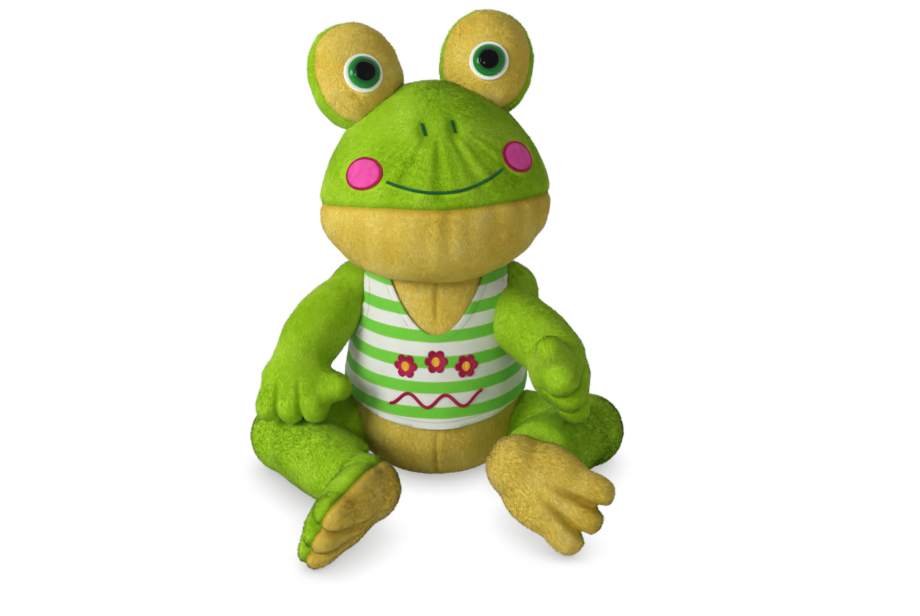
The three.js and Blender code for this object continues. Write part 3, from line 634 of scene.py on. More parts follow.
@dataclass(frozen=True)
class Cleft:
    """A groove that runs right through a flat limb, as between two toes or two fingers."""

    place: Place
    line: tuple
    axes: tuple
    depth: float
    width: float
    reach: float = 34.0

    def draw(self, spots: np.ndarray) -> np.ndarray:
        """How strongly the cleft draws at each spot, from 0 at its start to 1 at its end."""
        own = self.place.inside(spots)
        share, gap = beside(own[:, self.axes], *map(np.array, self.line))
        third = 3 - sum(self.axes)
        near = np.abs(own[:, third]) < self.reach
        return np.exp(-((gap / self.width) ** 2)) * np.clip(share * 2.2, 0, 1) ** 0.8 * near


@dataclass
class StuffedBody:
    """One stuffed form, from CAD solids to a swollen cover that is then cut into its pieces.

    Its solids are joined into one skin, smoothed, swollen like cloth under pressure, and drawn in
    along its seams and grooves.
    """

    name: str
    nodes: list[str]
    voxel: float = 4.0 * MM
    join: float = 0.9 * MM
    smoothing: int = 10
    swell: float = 0.6 * MM
    pressure: float = 4.0
    cap: float = 3.5 * MM
    frames: int = 20
    stiffness: float = 0.4
    stretch: float = 0.02
    seams: list[Seam] = field(default_factory=list)
    grooves: list[Union[Groove, Cleft]] = field(default_factory=list)
    lumps: float = 0.5 * MM
    lumps_per_m: float = 38.0

    def skin(self) -> bpy.types.Object:
        """The joined solids as one closed skin of even faces."""
        bm = bmesh.new()
        for node in self.nodes:
            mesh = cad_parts[node].data.copy()
            with editing(mesh) as part:
                bmesh.ops.remove_doubles(part, verts=part.verts, dist=1e-6)
                part.normal_update()
                for vert in part.verts:
                    vert.co += vert.normal * self.join
            bm.from_mesh(mesh)
            bpy.data.meshes.remove(mesh)
        obj = shown(bm, self.name)
        remesh = obj.modifiers.new("Skin", "REMESH")
        remesh.mode = "VOXEL"
        remesh.voxel_size = self.voxel
        remesh.use_smooth_shade = True
        evaluated(obj)
        with editing(obj.data) as bm:
            bmesh.ops.delete(bm, geom=self.loose(bm), context="VERTS")
        relax(obj.data, self.smoothing, 0.5, self.swell)
        return obj

    @staticmethod
    def loose(bm: bmesh.types.BMesh) -> list[bmesh.types.BMVert]:
        """Every vertex outside the mesh's largest connected part."""
        unseen, parts = set(bm.verts), []
        while unseen:
            start = unseen.pop()
            part, edge = {start}, [start]
            while edge:
                for link in edge.pop().link_edges:
                    for vert in link.verts:
                        if vert in unseen:
                            unseen.discard(vert)
                            part.add(vert)
                            edge.append(vert)
            parts.append(part)
        parts.sort(key=len)
        return [vert for part in parts[:-1] for vert in part]

    def stuffed(self) -> bpy.types.Object:
        """The skin after its stuffing has swollen it, and one subdivision."""
        obj = self.skin()
        start = coordinates(obj.data)
        cloth = obj.modifiers.new("Stuffing", "CLOTH")
        settings = cloth.settings
        settings.use_pressure = True
        settings.uniform_pressure_force = self.pressure
        settings.effector_weights.gravity = 0.0
        settings.shrink_min = -self.stretch
        settings.bending_stiffness = self.stiffness
        cloth.collision_settings.use_collision = False
        cloth.point_cache.frame_start = 1
        cloth.point_cache.frame_end = self.frames
        for step in range(1, self.frames + 1):
            bpy.context.scene.frame_set(step)
        evaluated(obj)
        moved = coordinates(obj.data) - start
        far = np.linalg.norm(moved, axis=1)[:, None]
        moved *= np.minimum(1, self.cap / np.maximum(far, 1e-9))
        reshape(obj.data, start + moved)
        relax(obj.data, 1, 0.3)
        finer = obj.modifiers.new("Finer", "SUBSURF")
        finer.levels = finer.render_levels = 1
        evaluated(obj)
        return obj

    def body(self) -> bpy.types.Object:
        """The stuffed form with its seams and grooves drawn in and its lumps raised."""
        obj = self.stuffed()
        spots, out = coordinates(obj.data), facing(obj.data)
        inward, crease = np.zeros(len(spots)), np.zeros(len(spots))
        for line in [*self.seams, *self.grooves]:
            drawn = line.draw(spots)
            inward += line.depth * drawn
            crease = np.maximum(crease, drawn * min(1.0, line.depth / (2.2 * MM)))
        for seam in self.seams:
            inward -= seam.puckers(spots)
        inward -= self.lumps * rolling(spots, self.lumps_per_m, 7.7)
        spots -= out * inward[:, None]
        spots[:, 2] = np.maximum(spots[:, 2], 0.0)
        reshape(obj.data, spots)
        # The crease value is painted shade: it darkens the plush in the seams and grooves, where
        # the cover is drawn in.
        keep_value(obj.data, "crease", crease ** 1.5)
        return obj

    @staticmethod
    def cut(whole: bpy.types.Object, name: str, planes: list[tuple]) -> bpy.types.Object:
        """A piece of a stuffed form.

        Args:
            whole: the form.
            name: the piece's name.
            planes: a point and a direction for each plane, past which the piece ends.

        Returns:
            The piece, closed where it was cut.
        """
        bm = bmesh.new()
        bm.from_mesh(whole.data)
        for point, beyond in planes:
            geometry = [*bm.verts, *bm.edges, *bm.faces]
            bmesh.ops.bisect_plane(
                bm, geom=geometry, dist=1e-7, plane_co=point, plane_no=beyond, clear_outer=True)
            rim = [edge for edge in bm.edges if edge.is_boundary]
            made = bmesh.ops.holes_fill(bm, edges=rim, sides=0)["faces"]
            bmesh.ops.triangulate(bm, faces=made)
        bmesh.ops.remove_doubles(bm, verts=bm.verts, dist=1e-6)
        return shown(bm, name)


def spun(line: list[tuple], steps: int) -> bmesh.types.BMesh:
    """A line of points in the XZ plane that is turned once round the Z axis."""
    bm = bmesh.new()
    verts = [bm.verts.new(point) for point in line]
    edges = [bm.edges.new(pair) for pair in zip(verts, verts[1:])]
    bmesh.ops.spin(bm, geom=[*verts, *edges], cent=(0, 0, 0), axis=(0, 0, 1), dvec=(0, 0, 0),
                   angle=2 * math.pi, steps=steps, use_merge=True, use_duplicate=False)
    bmesh.ops.remove_doubles(bm, verts=bm.verts, dist=1e-6)
    return bm


def turned(name: str, profile: list[tuple], place: Matrix) -> bpy.types.Object:
    """A turned piece.

    Args:
        name: the piece's name.
        profile: radius and height of each point, in millimetres, from the axis back to the axis.
        place: where its axis, along +Z, is put.

    Returns:
        The piece, with the share of its radius stored for its material.
    """
    bm = spun([(radius * MM, 0.0, height * MM) for radius, height in profile], steps=72)
    bmesh.ops.recalc_face_normals(bm, faces=bm.faces)
    reach = max(radius for radius, _ in profile) * MM
    shares = np.array([math.hypot(v.co.x, v.co.y) / reach for v in bm.verts])
    bmesh.ops.transform(bm, matrix=place, verts=bm.verts)
    obj = shown(bm, name)
    keep_value(obj.data, "crease", shares)
    return obj


def satin(name: str, stitches: list[tuple], width: float, rise: float) -> bpy.types.Object:
    """Satin stitches as one piece.

    Args:
        name: the piece's name.
        stitches: each stitch's start, end and the direction off the fabric there.
        width: a stitch's width.
        rise: how far its middle stands above its ends.

    Returns:
        The piece: one arched thread for each stitch, closed at both ends.
    """
    single = bmesh.new()
    bmesh.ops.create_circle(single, cap_ends=True, radius=0.5, segments=6)
    bmesh.ops.rotate(single, verts=single.verts, matrix=Matrix.Rotation(math.pi / 2, 3, "Y"))
    face = single.faces[:]
    bays = 5
    for _ in range(bays):
        made = bmesh.ops.extrude_face_region(single, geom=face)["geom"]
        face = [item for item in made if isinstance(item, bmesh.types.BMFace)]
        moved = {vert for item in face for vert in item.verts}
        bmesh.ops.translate(single, vec=(1 / bays, 0, 0), verts=list(moved))
    bmesh.ops.recalc_face_normals(single, faces=single.faces)
    unit = bpy.data.meshes.new("stitch")
    single.to_mesh(unit)
    single.free()
    base = coordinates(unit)
    bm = bmesh.new()
    threads = []
    for start, end, off in stitches:
        along = Vector(end) - Vector(start)
        length = max(along.length, 1e-5)
        along = along / length
        across = off.cross(along).normalized()
        up = along.cross(across)
        swing = 2 * np.clip(base[:, 0], 0, 1) - 1
        arch = rise * np.sqrt(np.maximum(0.0, 1 - swing ** 2))
        thin = 0.55 + 0.45 * np.sqrt(np.maximum(0.0, 1 - swing ** 4))
        threads.append(np.array(start) + np.outer(base[:, 0] * length, np.array(along))
                       + np.outer(base[:, 1] * width * thin, np.array(across))
                       + np.outer(base[:, 2] * width * thin + arch, np.array(up)))
        bm.from_mesh(unit)
    obj = shown(bm, name)
    reshape(obj.data, np.concatenate(threads))
    return obj


@dataclass
class Roots:
    """Where tufts stand on a stuffed form, the way off it, and how far it is drawn in there."""

    spots: np.ndarray
    ways: np.ndarray
    drawn: np.ndarray

    def kept(self, which: np.ndarray) -> "Roots":
        """Only some of the roots."""
        return Roots(self.spots[which], self.ways[which], self.drawn[which])

    def clear_of(self, trees: list[BVHTree], margin: float) -> "Roots":
        """The roots that stand outside every one of these surfaces by more than a margin."""
        found = self
        for tree in trees:
            found = found.kept(beyond_skin(tree, found.spots, margin))
        return found

    def past(self, planes: list[tuple]) -> "Roots":
        """The roots on the kept side of every plane, each given by a point and the way past it."""
        kept = np.ones(len(self.spots), bool)
        for point, beyond in planes:
            kept &= (self.spots - np.array(point)) @ np.array(beyond) <= 0
        return self.kept(kept)


@dataclass
class Pile:
    """The plush's standing pile: short closed tufts that lean with the nap."""

    shades: dict[str, list[bpy.types.Material]]
    length: float = 3.4 * MM
    width: float = 1.15 * MM
    area_each: float = 1.5 * MM * MM
    most_tufts: int = 49_000
    # How far a tuft stands up and how far it leans, as shares of its length.
    upright: float = 0.44
    lying: float = 0.9
    # How deep a tuft's foot is sunk in, how high over the floor the lowest root is, and how high
    # the lowest tip.
    sunk: float = 0.5 * MM
    lowest_root: float = 1.2 * MM
    lowest_tip: float = 0.2 * MM

    def spread(self, skin: bpy.types.Object) -> Roots:
        """Where tufts stand on a skin, evenly strewn.

        Args:
            skin: the stuffed form.

        Returns:
            The tufts' roots.
        """
        mesh = skin.data
        mesh.calc_loop_triangles()
        corners = read_rows(mesh.loop_triangles, "vertices", 3, np.int32)
        points, out, drawn = coordinates(mesh), facing(mesh), kept_value(mesh, "crease")
        a, b, c = (points[corners[:, i]] for i in range(3))
        areas = np.linalg.norm(np.cross(b - a, c - a), axis=1) / 2
        dice = np.random.default_rng(len(points))
        count = int(areas.sum() / self.area_each)
        faces = np.searchsorted(np.cumsum(areas) / areas.sum(), dice.random(count))
        first, second = dice.random(count), dice.random(count)
        fold = first + second > 1
        first[fold], second[fold] = 1 - first[fold], 1 - second[fold]
        weights = np.column_stack((1 - first - second, first, second))
        chosen = corners[np.minimum(faces, len(corners) - 1)]
        spots = (points[chosen] * weights[:, :, None]).sum(1)
        ways = (out[chosen] * weights[:, :, None]).sum(1)
        ways /= np.maximum(np.linalg.norm(ways, axis=1), 1e-9)[:, None]
        roots = Roots(spots, ways, (drawn[chosen] * weights).sum(1))
        return roots.kept(spots[:, 2] > self.lowest_root)

    def grow(self, name: str, slot: str, roots: Roots, nap: np.ndarray) -> bpy.types.Object:
        """Grows tufts as one piece.

        Args:
            name: the piece's name.
            slot: the record's slot of the plush.
            roots: where they stand.
            nap: the way that each leans, or one way for all.

        Returns:
            The piece.
        """
        dice = np.random.default_rng(len(roots.spots))
        nap = np.broadcast_to(nap, roots.spots.shape)
        if len(roots.spots) > self.most_tufts:
            chosen = np.sort(dice.permutation(len(roots.spots))[:self.most_tufts])
            roots, nap = roots.kept(chosen), nap[chosen]
        spots, ways = roots.spots, roots.ways
        count = len(spots)
        swirl = np.column_stack([rolling(spots, 24.0, shift) for shift in (1.7, 5.3, 9.1)])
        lean = nap + swirl * 0.5 + dice.normal(0, 0.14, (count, 3))
        lean -= ways * (lean * ways).sum(1)[:, None]
        lean /= np.maximum(np.linalg.norm(lean, axis=1), 1e-9)[:, None]
        tall = self.length * dice.uniform(0.7, 1.1, count) * (1 - 0.55 * np.clip(roots.drawn, 0, 1))
        tip = spots + (ways * self.upright + lean * self.lying) * tall[:, None]
        side = np.cross(ways, lean)
        half = self.width / 2 * dice.uniform(0.8, 1.2, count)[:, None]
        foot = spots - ways * self.sunk
        corners = [foot + half * (side * math.cos(a) + lean * math.sin(a))
                   for a in (math.pi / 6, 5 * math.pi / 6, 3 * math.pi / 2)]
        obj = self.many(name, count, tip, corners)
        mesh = obj.data
        tone = 0.9 * rolling(spots, 30.0, 8.3) + 0.3 * rolling(spots, 110.0, 2.9)
        tone += dice.normal(0, 0.12, count)
        # Each tuft's shade follows the noise tone, and is deeper where the cover is drawn in:
        # painted shade in seams, clefts and pits.
        lay = np.clip(0.55 + 0.5 * np.clip(tone, -1, 1) - 0.5 * roots.drawn, 0, 0.999)
        for material in self.shades[slot]:
            mesh.materials.append(material)
        shade = (lay * len(self.shades[slot])).astype(np.int32)
        mesh.polygons.foreach_set("material_index", np.repeat(shade, len(mesh.polygons) // count))
        soft = ways * 0.85 + lean * 0.15 + dice.normal(0, 0.06, (count, 3))
        soft /= np.linalg.norm(soft, axis=1)[:, None]
        soft = np.repeat(soft, len(mesh.vertices) // count, axis=0)
        mesh.normals_split_custom_set_from_vertices(soft)
        mesh.update()
        log.info("%s, %d tufts", name, count)
        return obj

    def many(self, name: str, count: int, tip: np.ndarray,
             corners: list[np.ndarray]) -> bpy.types.Object:
        """Many tufts in one mesh.

        Args:
            name: the piece's name.
            count: how many.
            tip: the tip of each.
            corners: the three corners of each one's foot.

        Returns:
            The piece.
        """
        bm = bmesh.new()
        bmesh.ops.create_cone(bm, cap_ends=True, segments=3, radius1=1.0, radius2=0.0, depth=1.0)
        bmesh.ops.remove_doubles(bm, verts=bm.verts, dist=1e-4)
        bmesh.ops.recalc_face_normals(bm, faces=bm.faces)
        tuft = np.array([vert.co for vert in bm.verts])
        obj = shown(bm, name)
        row = obj.modifiers.new("Many", "ARRAY")
        row.count, row.use_relative_offset = count, False
        evaluated(obj)
        peak = int(np.argmax(tuft[:, 2]))
        turn = np.arctan2(tuft[:, 1], tuft[:, 0])
        spots = np.zeros((count, len(tuft), 3))
        spots[:, peak] = tip
        order = sorted((i for i in range(len(tuft)) if i != peak), key=lambda i: turn[i])
        for place, corner in zip(order, corners):
            spots[:, place] = corner
        spots[:, :, 2] = np.maximum(spots[:, :, 2], self.lowest_tip)
        reshape(obj.data, spots.reshape(-1, 3))
        with editing(obj.data) as bm:
            bmesh.ops.reverse_faces(bm, faces=bm.faces)
        return obj


def beyond_skin(tree: BVHTree, spots: np.ndarray, margin: float) -> np.ndarray:
    """Which spots lie outside a closed surface by more than a margin."""
    kept = np.ones(len(spots), bool)
    for number, spot in enumerate(spots):
        near, out, _, _ = tree.find_nearest(Vector(spot), 0.06)
        if near is not None:
            kept[number] = (Vector(spot) - near).dot(out) > margin
    return kept


@dataclass(frozen=True)
class Outline:
    """How far the torso stands out at each share of its profile, as in the frame's own solids."""

    height_mm: float = 229.5
    sunk_mm: float = 0.5
    heights: tuple = (0, 0.004, 0.02, 0.075, 0.2, 0.38, 0.56, 0.7, 0.82, 0.89, 0.94, 0.98, 1)
    side: tuple = (0, 0.45, 0.72, 0.88, 0.99, 0.985, 0.915, 0.845, 0.82, 0.7, 0.5, 0.3, 0)
    front: tuple = (0, 0.45, 0.72, 0.92, 1, 0.93, 0.8, 0.67, 0.57, 0.5, 0.42, 0.28, 0)
    back: tuple = (0, 0.45, 0.68, 0.86, 0.98, 0.98, 0.9, 0.8, 0.7, 0.62, 0.5, 0.32, 0)
    side_mm: float = 92.5
    front_mm: float = 98.5
    back_mm: float = 80.0

    @staticmethod
    def smooth(stops: tuple, shares: np.ndarray) -> np.ndarray:
        """Values between evenly spaced stops, on a smooth line through them."""
        values = np.array(stops, float)
        last = len(values) - 1
        spot = np.clip(shares, 0, 1) * last
        low = np.minimum(spot.astype(int), last)
        t = spot - low
        p0, p1, p2, p3 = (values[np.clip(low + step, 0, last)] for step in (-1, 0, 1, 2))
        v0, v1 = (p2 - p0) / 2, (p3 - p1) / 2
        bend = (2 * p1 - 2 * p2 + v0 + v1) * t + (-3 * p1 + 3 * p2 - 2 * v0 - v1)
        return bend * t * t + v0 * t + p1

    def points(self, angles: np.ndarray, shares: np.ndarray) -> np.ndarray:
        """Points of the torso's surface, in metres.

        Args:
            angles: how far round, where -90 degrees is the front.
            shares: how far up the profile, from 0 to 1.

        Returns:
            One row for each pair.
        """
        side = self.smooth(self.side, shares) * self.side_mm
        front = self.smooth(self.front, shares) * self.front_mm
        back = self.smooth(self.back, shares) * self.back_mm
        depth = np.where(np.sin(angles) < 0, front, back)
        tall = self.smooth(self.heights, shares) * (self.height_mm + self.sunk_mm) - self.sunk_mm
        return np.column_stack((side * np.cos(angles), depth * np.sin(angles), tall)) * MM


@dataclass
class Vest:
    """The sleeveless jersey vest: two panels that are sewn at the sides and straps."""

    round_steps: int = 216
    tall_steps: int = 132
    thick: float = 2.2 * MM
    round_mean: float = 0.09
    side_seam_mm: float = 1.3
    hem_mm: float = 66.0
    hem_rise_mm: float = 18.0
    armhole_mm: float = 136.5
    armpit_mm: float = 90.3
    neckline_mm: float = 154.0
    nape_mm: float = 185.5
    strap_in_mm: float = 50.5
    strap_out_mm: float = 75.0
    strap_top_mm: float = 217.5
    shoulder_mm: float = 177.5
    wide_mm: float = 107.5
    top_mm: float = 277.5
    # The cloth is cast onto what is under it from this far out towards this point.
    middle_m: tuple = (0.0, 0.0, 0.12)
    cast_m: float = 0.3
    # For the torso and then for the arms: the lowest height at which they push the cloth out, and
    # how far they may, in metres.
    pushed_m: tuple = ((0.04, 0.004), (0.168, 0.005))
    # Each panel's width, height and area when it is cut, in metres and square metres.
    flats: dict = field(default_factory=lambda: {
        "front": (0.3, 0.165, 0.031), "back": (0.27, 0.165, 0.029)})

    @staticmethod
    def bend(start: tuple, pull: tuple, end: tuple, steps: int = 14) -> list[tuple]:
        """Points along a curve that is pulled towards a point, without its start."""
        return [tuple((1 - t) ** 2 * a + 2 * t * (1 - t) * b + t * t * c
                      for a, b, c in zip(start, pull, end))
                for t in (i / steps for i in range(1, steps + 1))]

    def outline(self, face: str) -> list[tuple]:
        """One panel's outline across and up, in millimetres, from the middle of its hem round."""
        front = face == "front"
        hem = self.hem_mm if front else self.hem_mm + self.hem_rise_mm / 2
        neck = self.neckline_mm if front else self.nape_mm
        roundness = 0.5 if front else 0.9
        wide, inner, outer = self.wide_mm, self.strap_in_mm, self.strap_out_mm
        half = [(0.0, hem)]
        half += self.bend(half[-1], (wide / 2, hem), (wide, self.hem_mm + self.hem_rise_mm))
        half += [(wide, self.armhole_mm), (self.armpit_mm, self.armhole_mm)]
        half += self.bend(half[-1], (outer - 2.0, self.armhole_mm + 5.0),
                          (outer - 5.0, self.shoulder_mm))
        half += [(outer, self.top_mm), (inner, self.top_mm), (inner, self.strap_top_mm)]
        half += self.bend(half[-1], (inner * roundness, neck), (0.0, neck))
        return half + [(-x, z) for x, z in half[-2:0:-1]]

    def within(self, face: str, spots: np.ndarray) -> np.ndarray:
        """How far each spot lies inside a panel's outline, seen from the front, in millimetres."""
        flat = spots[:, (0, 2)] / MM
        line = np.array(self.outline(face))
        nearest = np.full(len(flat), 1e9)
        inside = np.zeros(len(flat), bool)
        for a, b in zip(line, np.roll(line, -1, axis=0)):
            nearest = np.minimum(nearest, beside(flat, a, b)[1])
            if a[1] != b[1]:
                crosses = (a[1] > flat[:, 1]) != (b[1] > flat[:, 1])
                at = a[0] + (flat[:, 1] - a[1]) / (b[1] - a[1]) * (b[0] - a[0])
                inside ^= crosses & (flat[:, 0] < at)
        return np.where(inside, nearest, -nearest)

    def covers(self, spots: np.ndarray) -> np.ndarray:
        """How far each spot lies under the vest, in millimetres, and below zero outside it."""
        return np.where(spots[:, 1] < 0, self.within("front", spots), self.within("back", spots))

    def cloth(self, trees: list[BVHTree]) -> bmesh.types.BMesh:
        """The jersey all round the torso, lying on what is under it.

        Args:
            trees: the surfaces that it lies on, the torso's first.

        Returns:
            A closed form, from which the panels are cut.
        """
        bm = bmesh.new()
        bmesh.ops.create_uvsphere(
            bm, u_segments=self.round_steps, v_segments=self.tall_steps, radius=1.0)
        unit = np.array([vert.co for vert in bm.verts])
        angles = np.arctan2(unit[:, 1], unit[:, 0])
        shares = np.arccos(np.clip(-unit[:, 2], -1, 1)) / math.pi
        spots = Outline().points(angles, shares)
        middle = np.array(self.middle_m)
        ways = spots - middle
        reach = np.linalg.norm(ways, axis=1)
        ways /= np.maximum(reach, 1e-9)[:, None]
        rest = reach.copy()
        for number, tree in enumerate(trees):
            lowest, room = self.pushed_m[min(number, 1)]
            for i in np.flatnonzero(spots[:, 2] > lowest):
                way = Vector(ways[i])
                hit = tree.ray_cast(Vector(middle) + way * self.cast_m, -way, self.cast_m)[0]
                if hit is not None:
                    far = (hit - Vector(middle)).length
                    reach[i] = max(reach[i], min(far, rest[i] + room))
        for vert, way, far in zip(bm.verts, ways, reach):
            vert.co = Vector(middle + way * far)
        for _ in range(4):
            bmesh.ops.smooth_vert(
                bm, verts=bm.verts, factor=0.5, use_axis_x=True, use_axis_y=True, use_axis_z=True)
        bmesh.ops.recalc_face_normals(bm, faces=bm.faces)
        bm.normal_update()
        return bm

    def looseness(self, spot: Vector, edge: float) -> float:
        """How far the jersey stands off what is under it, in metres.

        Args:
            spot: the point of the jersey.
            edge: how far it lies inside the panel's outline, in millimetres.

        Returns:
            The gap: small where the vest is tight, more in folds and at the front of the hem.
        """
        x, y, z = spot / MM
        gap = 0.5
        if y < 0:
            low = min(max((112 - z) / 50, 0.0), 1.0)
            middle = max(0.0, 1 - (x / 66) ** 2)
            gap += 4.2 * low * low * middle * (0.8 + 0.35 * math.sin(x * 0.11 + 0.6))
            drag = math.exp(-((abs(x) - 58 + (z - 120) * 0.25) / 9) ** 2)
            drag = drag * min(max((z - 76) / 30, 0), 1)
            ripple = 0.5 + 0.5 * math.sin(z * 0.33 + x * 0.1)
            gap += 1.1 * drag * ripple * max(0.0, 1 - ((z - 118) / 40) ** 2)
            gap += 0.9 * middle * math.exp(-((z - 146 + abs(x) * 0.4) / 7) ** 2)
        gap += 0.55 * noise.noise(Vector((x, y, z)) * 0.045)
        gap += 0.9 * min(max((7.5 - edge) / 3.0, 0.0), 1.0)
        gap -= 0.8 * math.exp(-(y / 2.2) ** 2)
        return max(0.25, gap) * MM

    def panel(self, bm: bmesh.types.BMesh, face: str) -> bpy.types.Object:
        """Cuts one panel out of the jersey and gives it its thickness.

        Args:
            bm: the jersey all round the torso, which is left as it was.
            face: front or back.

        Returns:
            The panel.
        """
        bm = bm.copy()
        bmesh.ops.bisect_plane(
            bm, geom=[*bm.verts, *bm.edges, *bm.faces], dist=1e-7, plane_co=(0, 0, 0),
            plane_no=(0, 1 if face == "front" else -1, 0), clear_outer=True)
        level = bm.verts.layers.float.new("level")
        inside = self.within(face, np.array([vert.co for vert in bm.verts]))
        for vert, value in zip(bm.verts, inside):
            vert[level] = value
        crossed = [edge for edge in bm.edges
                   if (edge.verts[0][level] > 0) != (edge.verts[1][level] > 0)]
        cuts = []
        for edge in crossed:
            start, end = edge.verts
            share = start[level] / (start[level] - end[level])
            made = bmesh.utils.edge_split(edge, start, min(max(share, 0.02), 0.98))[1]
            made[level] = 0.0
            cuts.append(made)
        bmesh.ops.connect_verts(bm, verts=cuts)
        outside = [f for f in bm.faces if sum(v[level] for v in f.verts) <= 0]
        bmesh.ops.delete(bm, geom=outside, context="FACES")
        bm.normal_update()
        moves = [vert.normal * self.looseness(vert.co, vert[level]) for vert in bm.verts]
        values = {
            "stripe": [vert.co.z for vert in bm.verts],
            "along": [math.atan2(vert.co.y, vert.co.x) * self.round_mean for vert in bm.verts],
            "edge": [vert[level] * MM for vert in bm.verts]}
        for vert, move in zip(bm.verts, moves):
            vert.co += move
        obj = shown(bm, f"knit_vest_{face}")
        for name, numbers in values.items():
            keep_value(obj.data, name, np.array(numbers))
        sides = np.array([abs(v.co.y) for v in obj.data.vertices]) / MM
        keep_value(obj.data, "crease", np.exp(-((sides / self.side_seam_mm) ** 2)))
        wall = obj.modifiers.new("Jersey", "SOLIDIFY")
        wall.thickness, wall.offset, wall.use_even_offset = self.thick, 1.0, False
        evaluated(obj)
        return obj

    def build(self, trees: list[BVHTree], looks: dict) -> BVHTree:
        """Makes both panels.

        Args:
            trees: the surfaces that the vest lies on, the torso's first.
            looks: the materials by the record's slots.

        Returns:
            The front panel's surface, for the embroidery.
        """
        bm = self.cloth(trees)
        found = None
        for face, under in (("front", "plush_belly"), ("back", "plush_back")):
            piece = self.panel(bm, face)
            fitted(piece, looks, "vest_knit", "torso", f"vest_{face}")
            log.info("%s, %.4f square metres a side", piece.name,
                     sum(polygon.area for polygon in piece.data.polygons) / 2)
            found = found or tree_of(piece)
        bm.free()
        return found


@dataclass
class Motif:
    """The vest's embroidery: a row of three blossoms over a wavy line, in satin stitches."""

    blossom_mm: float = 11.7
    centre_mm: float = 4.4
    petals: int = 6
    petal_share: float = 0.2
    spread_mm: float = 29.5
    height_mm: float = 125.0
    wave_mm: float = 93.5
    wave_half_mm: float = 45.0
    wave_deep_mm: float = 5.9
    turns: float = 2.5
    line_mm: float = 3.3
    thread_mm: float = 0.9

    @staticmethod
    def on_vest(tree: BVHTree, x: float, z: float, lift: float) -> tuple[Vector, Vector]:
        """The vest's point in front of a spot across and up, lifted off it, and the way off."""
        spot, off, _, _ = tree.ray_cast(Vector((x * MM, -0.4, z * MM)), Vector((0, 1, 0)))
        return spot + off * lift, off

    def build(self, tree: BVHTree, looks: dict) -> None:
        """Sews the embroidery onto the vest's front.

        Args:
            tree: the front panel's surface.
            looks: the materials by the record's slots.
        """
        for number, word in enumerate(("right", "middle", "left")):
            x = (number - 1) * self.spread_mm
            z = self.height_mm + (self.blossom_mm / 2 if number == 1 else 0)
            self.blossom(tree, word, x, z, looks)
            self.centre(tree, word, x, z, looks)
        self.wave(tree, looks)

    def blossom(self, tree: BVHTree, word: str, x: float, z: float, looks: dict) -> None:
        """Sews one blossom's petals, whose threads run out from its centre."""
        stitches = []
        count = round(2 * math.pi * self.blossom_mm * 0.82 / self.thread_mm)
        for step in range(count):
            angle = 2 * math.pi * step / count
            lobe = math.sqrt(abs(math.cos(self.petals * angle / 2)))
            far = self.blossom_mm * (1 - 2 * self.petal_share * (1 - lobe))
            ends = []
            for reach in (self.centre_mm * 0.85, far):
                across, up = x + reach * math.cos(angle), z + reach * math.sin(angle)
                spot, off = self.on_vest(tree, across, up, 0.2 * MM)
                ends.append(spot)
            stitches.append((*ends, off))
        piece = satin(f"satin_blossom_{word}", stitches, self.thread_mm * 1.2 * MM, 1.0 * MM)
        fitted(piece, looks, "crimson_thread", "torso", f"blossom_{word}")

    def centre(self, tree: BVHTree, word: str, x: float, z: float, looks: dict) -> None:
        """Sews one blossom's round middle in threads side by side."""
        stitches = []
        count = round(2 * self.centre_mm / (self.thread_mm * 0.85))
        for row in range(count):
            up = self.centre_mm * ((row + 0.5) / count * 2 - 1)
            half = math.sqrt(self.centre_mm ** 2 - up ** 2)
            ends = [self.on_vest(tree, x + side * half, z + up, 0.7 * MM)[0] for side in (-1, 1)]
            stitches.append((*ends, self.on_vest(tree, x, z + up, 0.0)[1]))
        piece = satin(f"satin_blossom_centre_{word}", stitches, self.thread_mm * 1.1 * MM, 1.0 * MM)
        fitted(piece, looks, "yellow_thread", "torso", f"blossom_centre_{word}")

    def wave(self, tree: BVHTree, looks: dict) -> None:
        """Sews the wavy line in slanted threads."""
        def height(x: float) -> float:
            """The line's height at a place across."""
            share = self.turns * math.pi * x / self.wave_half_mm
            return self.wave_mm + self.wave_deep_mm * math.sin(share)

        stitches, x = [], -self.wave_half_mm
        while x < self.wave_half_mm:
            slope = (height(x + 0.1) - height(x - 0.1)) / 0.2
            along = Vector((1, slope)).normalized()
            slant = (Vector((-along.y, along.x)) + along * 0.5) * self.line_mm / 2
            ends = [self.on_vest(tree, x + side * slant.x, height(x) + side * slant.y, 0.2 * MM)[0]
                    for side in (-1, 1)]
            stitches.append((*ends, self.on_vest(tree, x, height(x), 0.0)[1]))
            x += self.thread_mm * 0.85 * along.x
        piece = satin("satin_wave", stitches, self.thread_mm * 1.15 * MM, 1.1 * MM)
        fitted(piece, looks, "crimson_thread", "torso", "stitched_wave")


@dataclass
class NeckSeam:
    """The band of ladder stitches between the torso and the head."""

    height_mm: float = 229.5
    inside_mm: float = 43.9
    outside_mm: float = 46.2
    half_mm: float = 6.6
    stitches: int = 84

    def build(self, looks: dict) -> None:
        """Sews the band."""
        stitches = []
        middle = (self.inside_mm + self.outside_mm) / 2
        for step in range(self.stitches):
            angle = 2 * math.pi * step / self.stitches
            ends = []
            for share in (-1, 1):
                turn = angle + share * 0.02
                rise = share * self.half_mm * 0.93
                reach = math.sqrt(middle ** 2 - rise ** 2) - 0.3
                ends.append(MM * Vector((
                    reach * math.cos(turn), reach * math.sin(turn), self.height_mm + rise)))
            stitches.append((*ends, Vector((math.cos(angle), math.sin(angle), 0))))
        width = 2 * math.pi * self.outside_mm / self.stitches * MM
        band = satin("stitched_neck_band", stitches, width * 0.62, 0.7 * MM)
        fitted(band, looks, "green_thread", "neck", "neck_seam_ring")


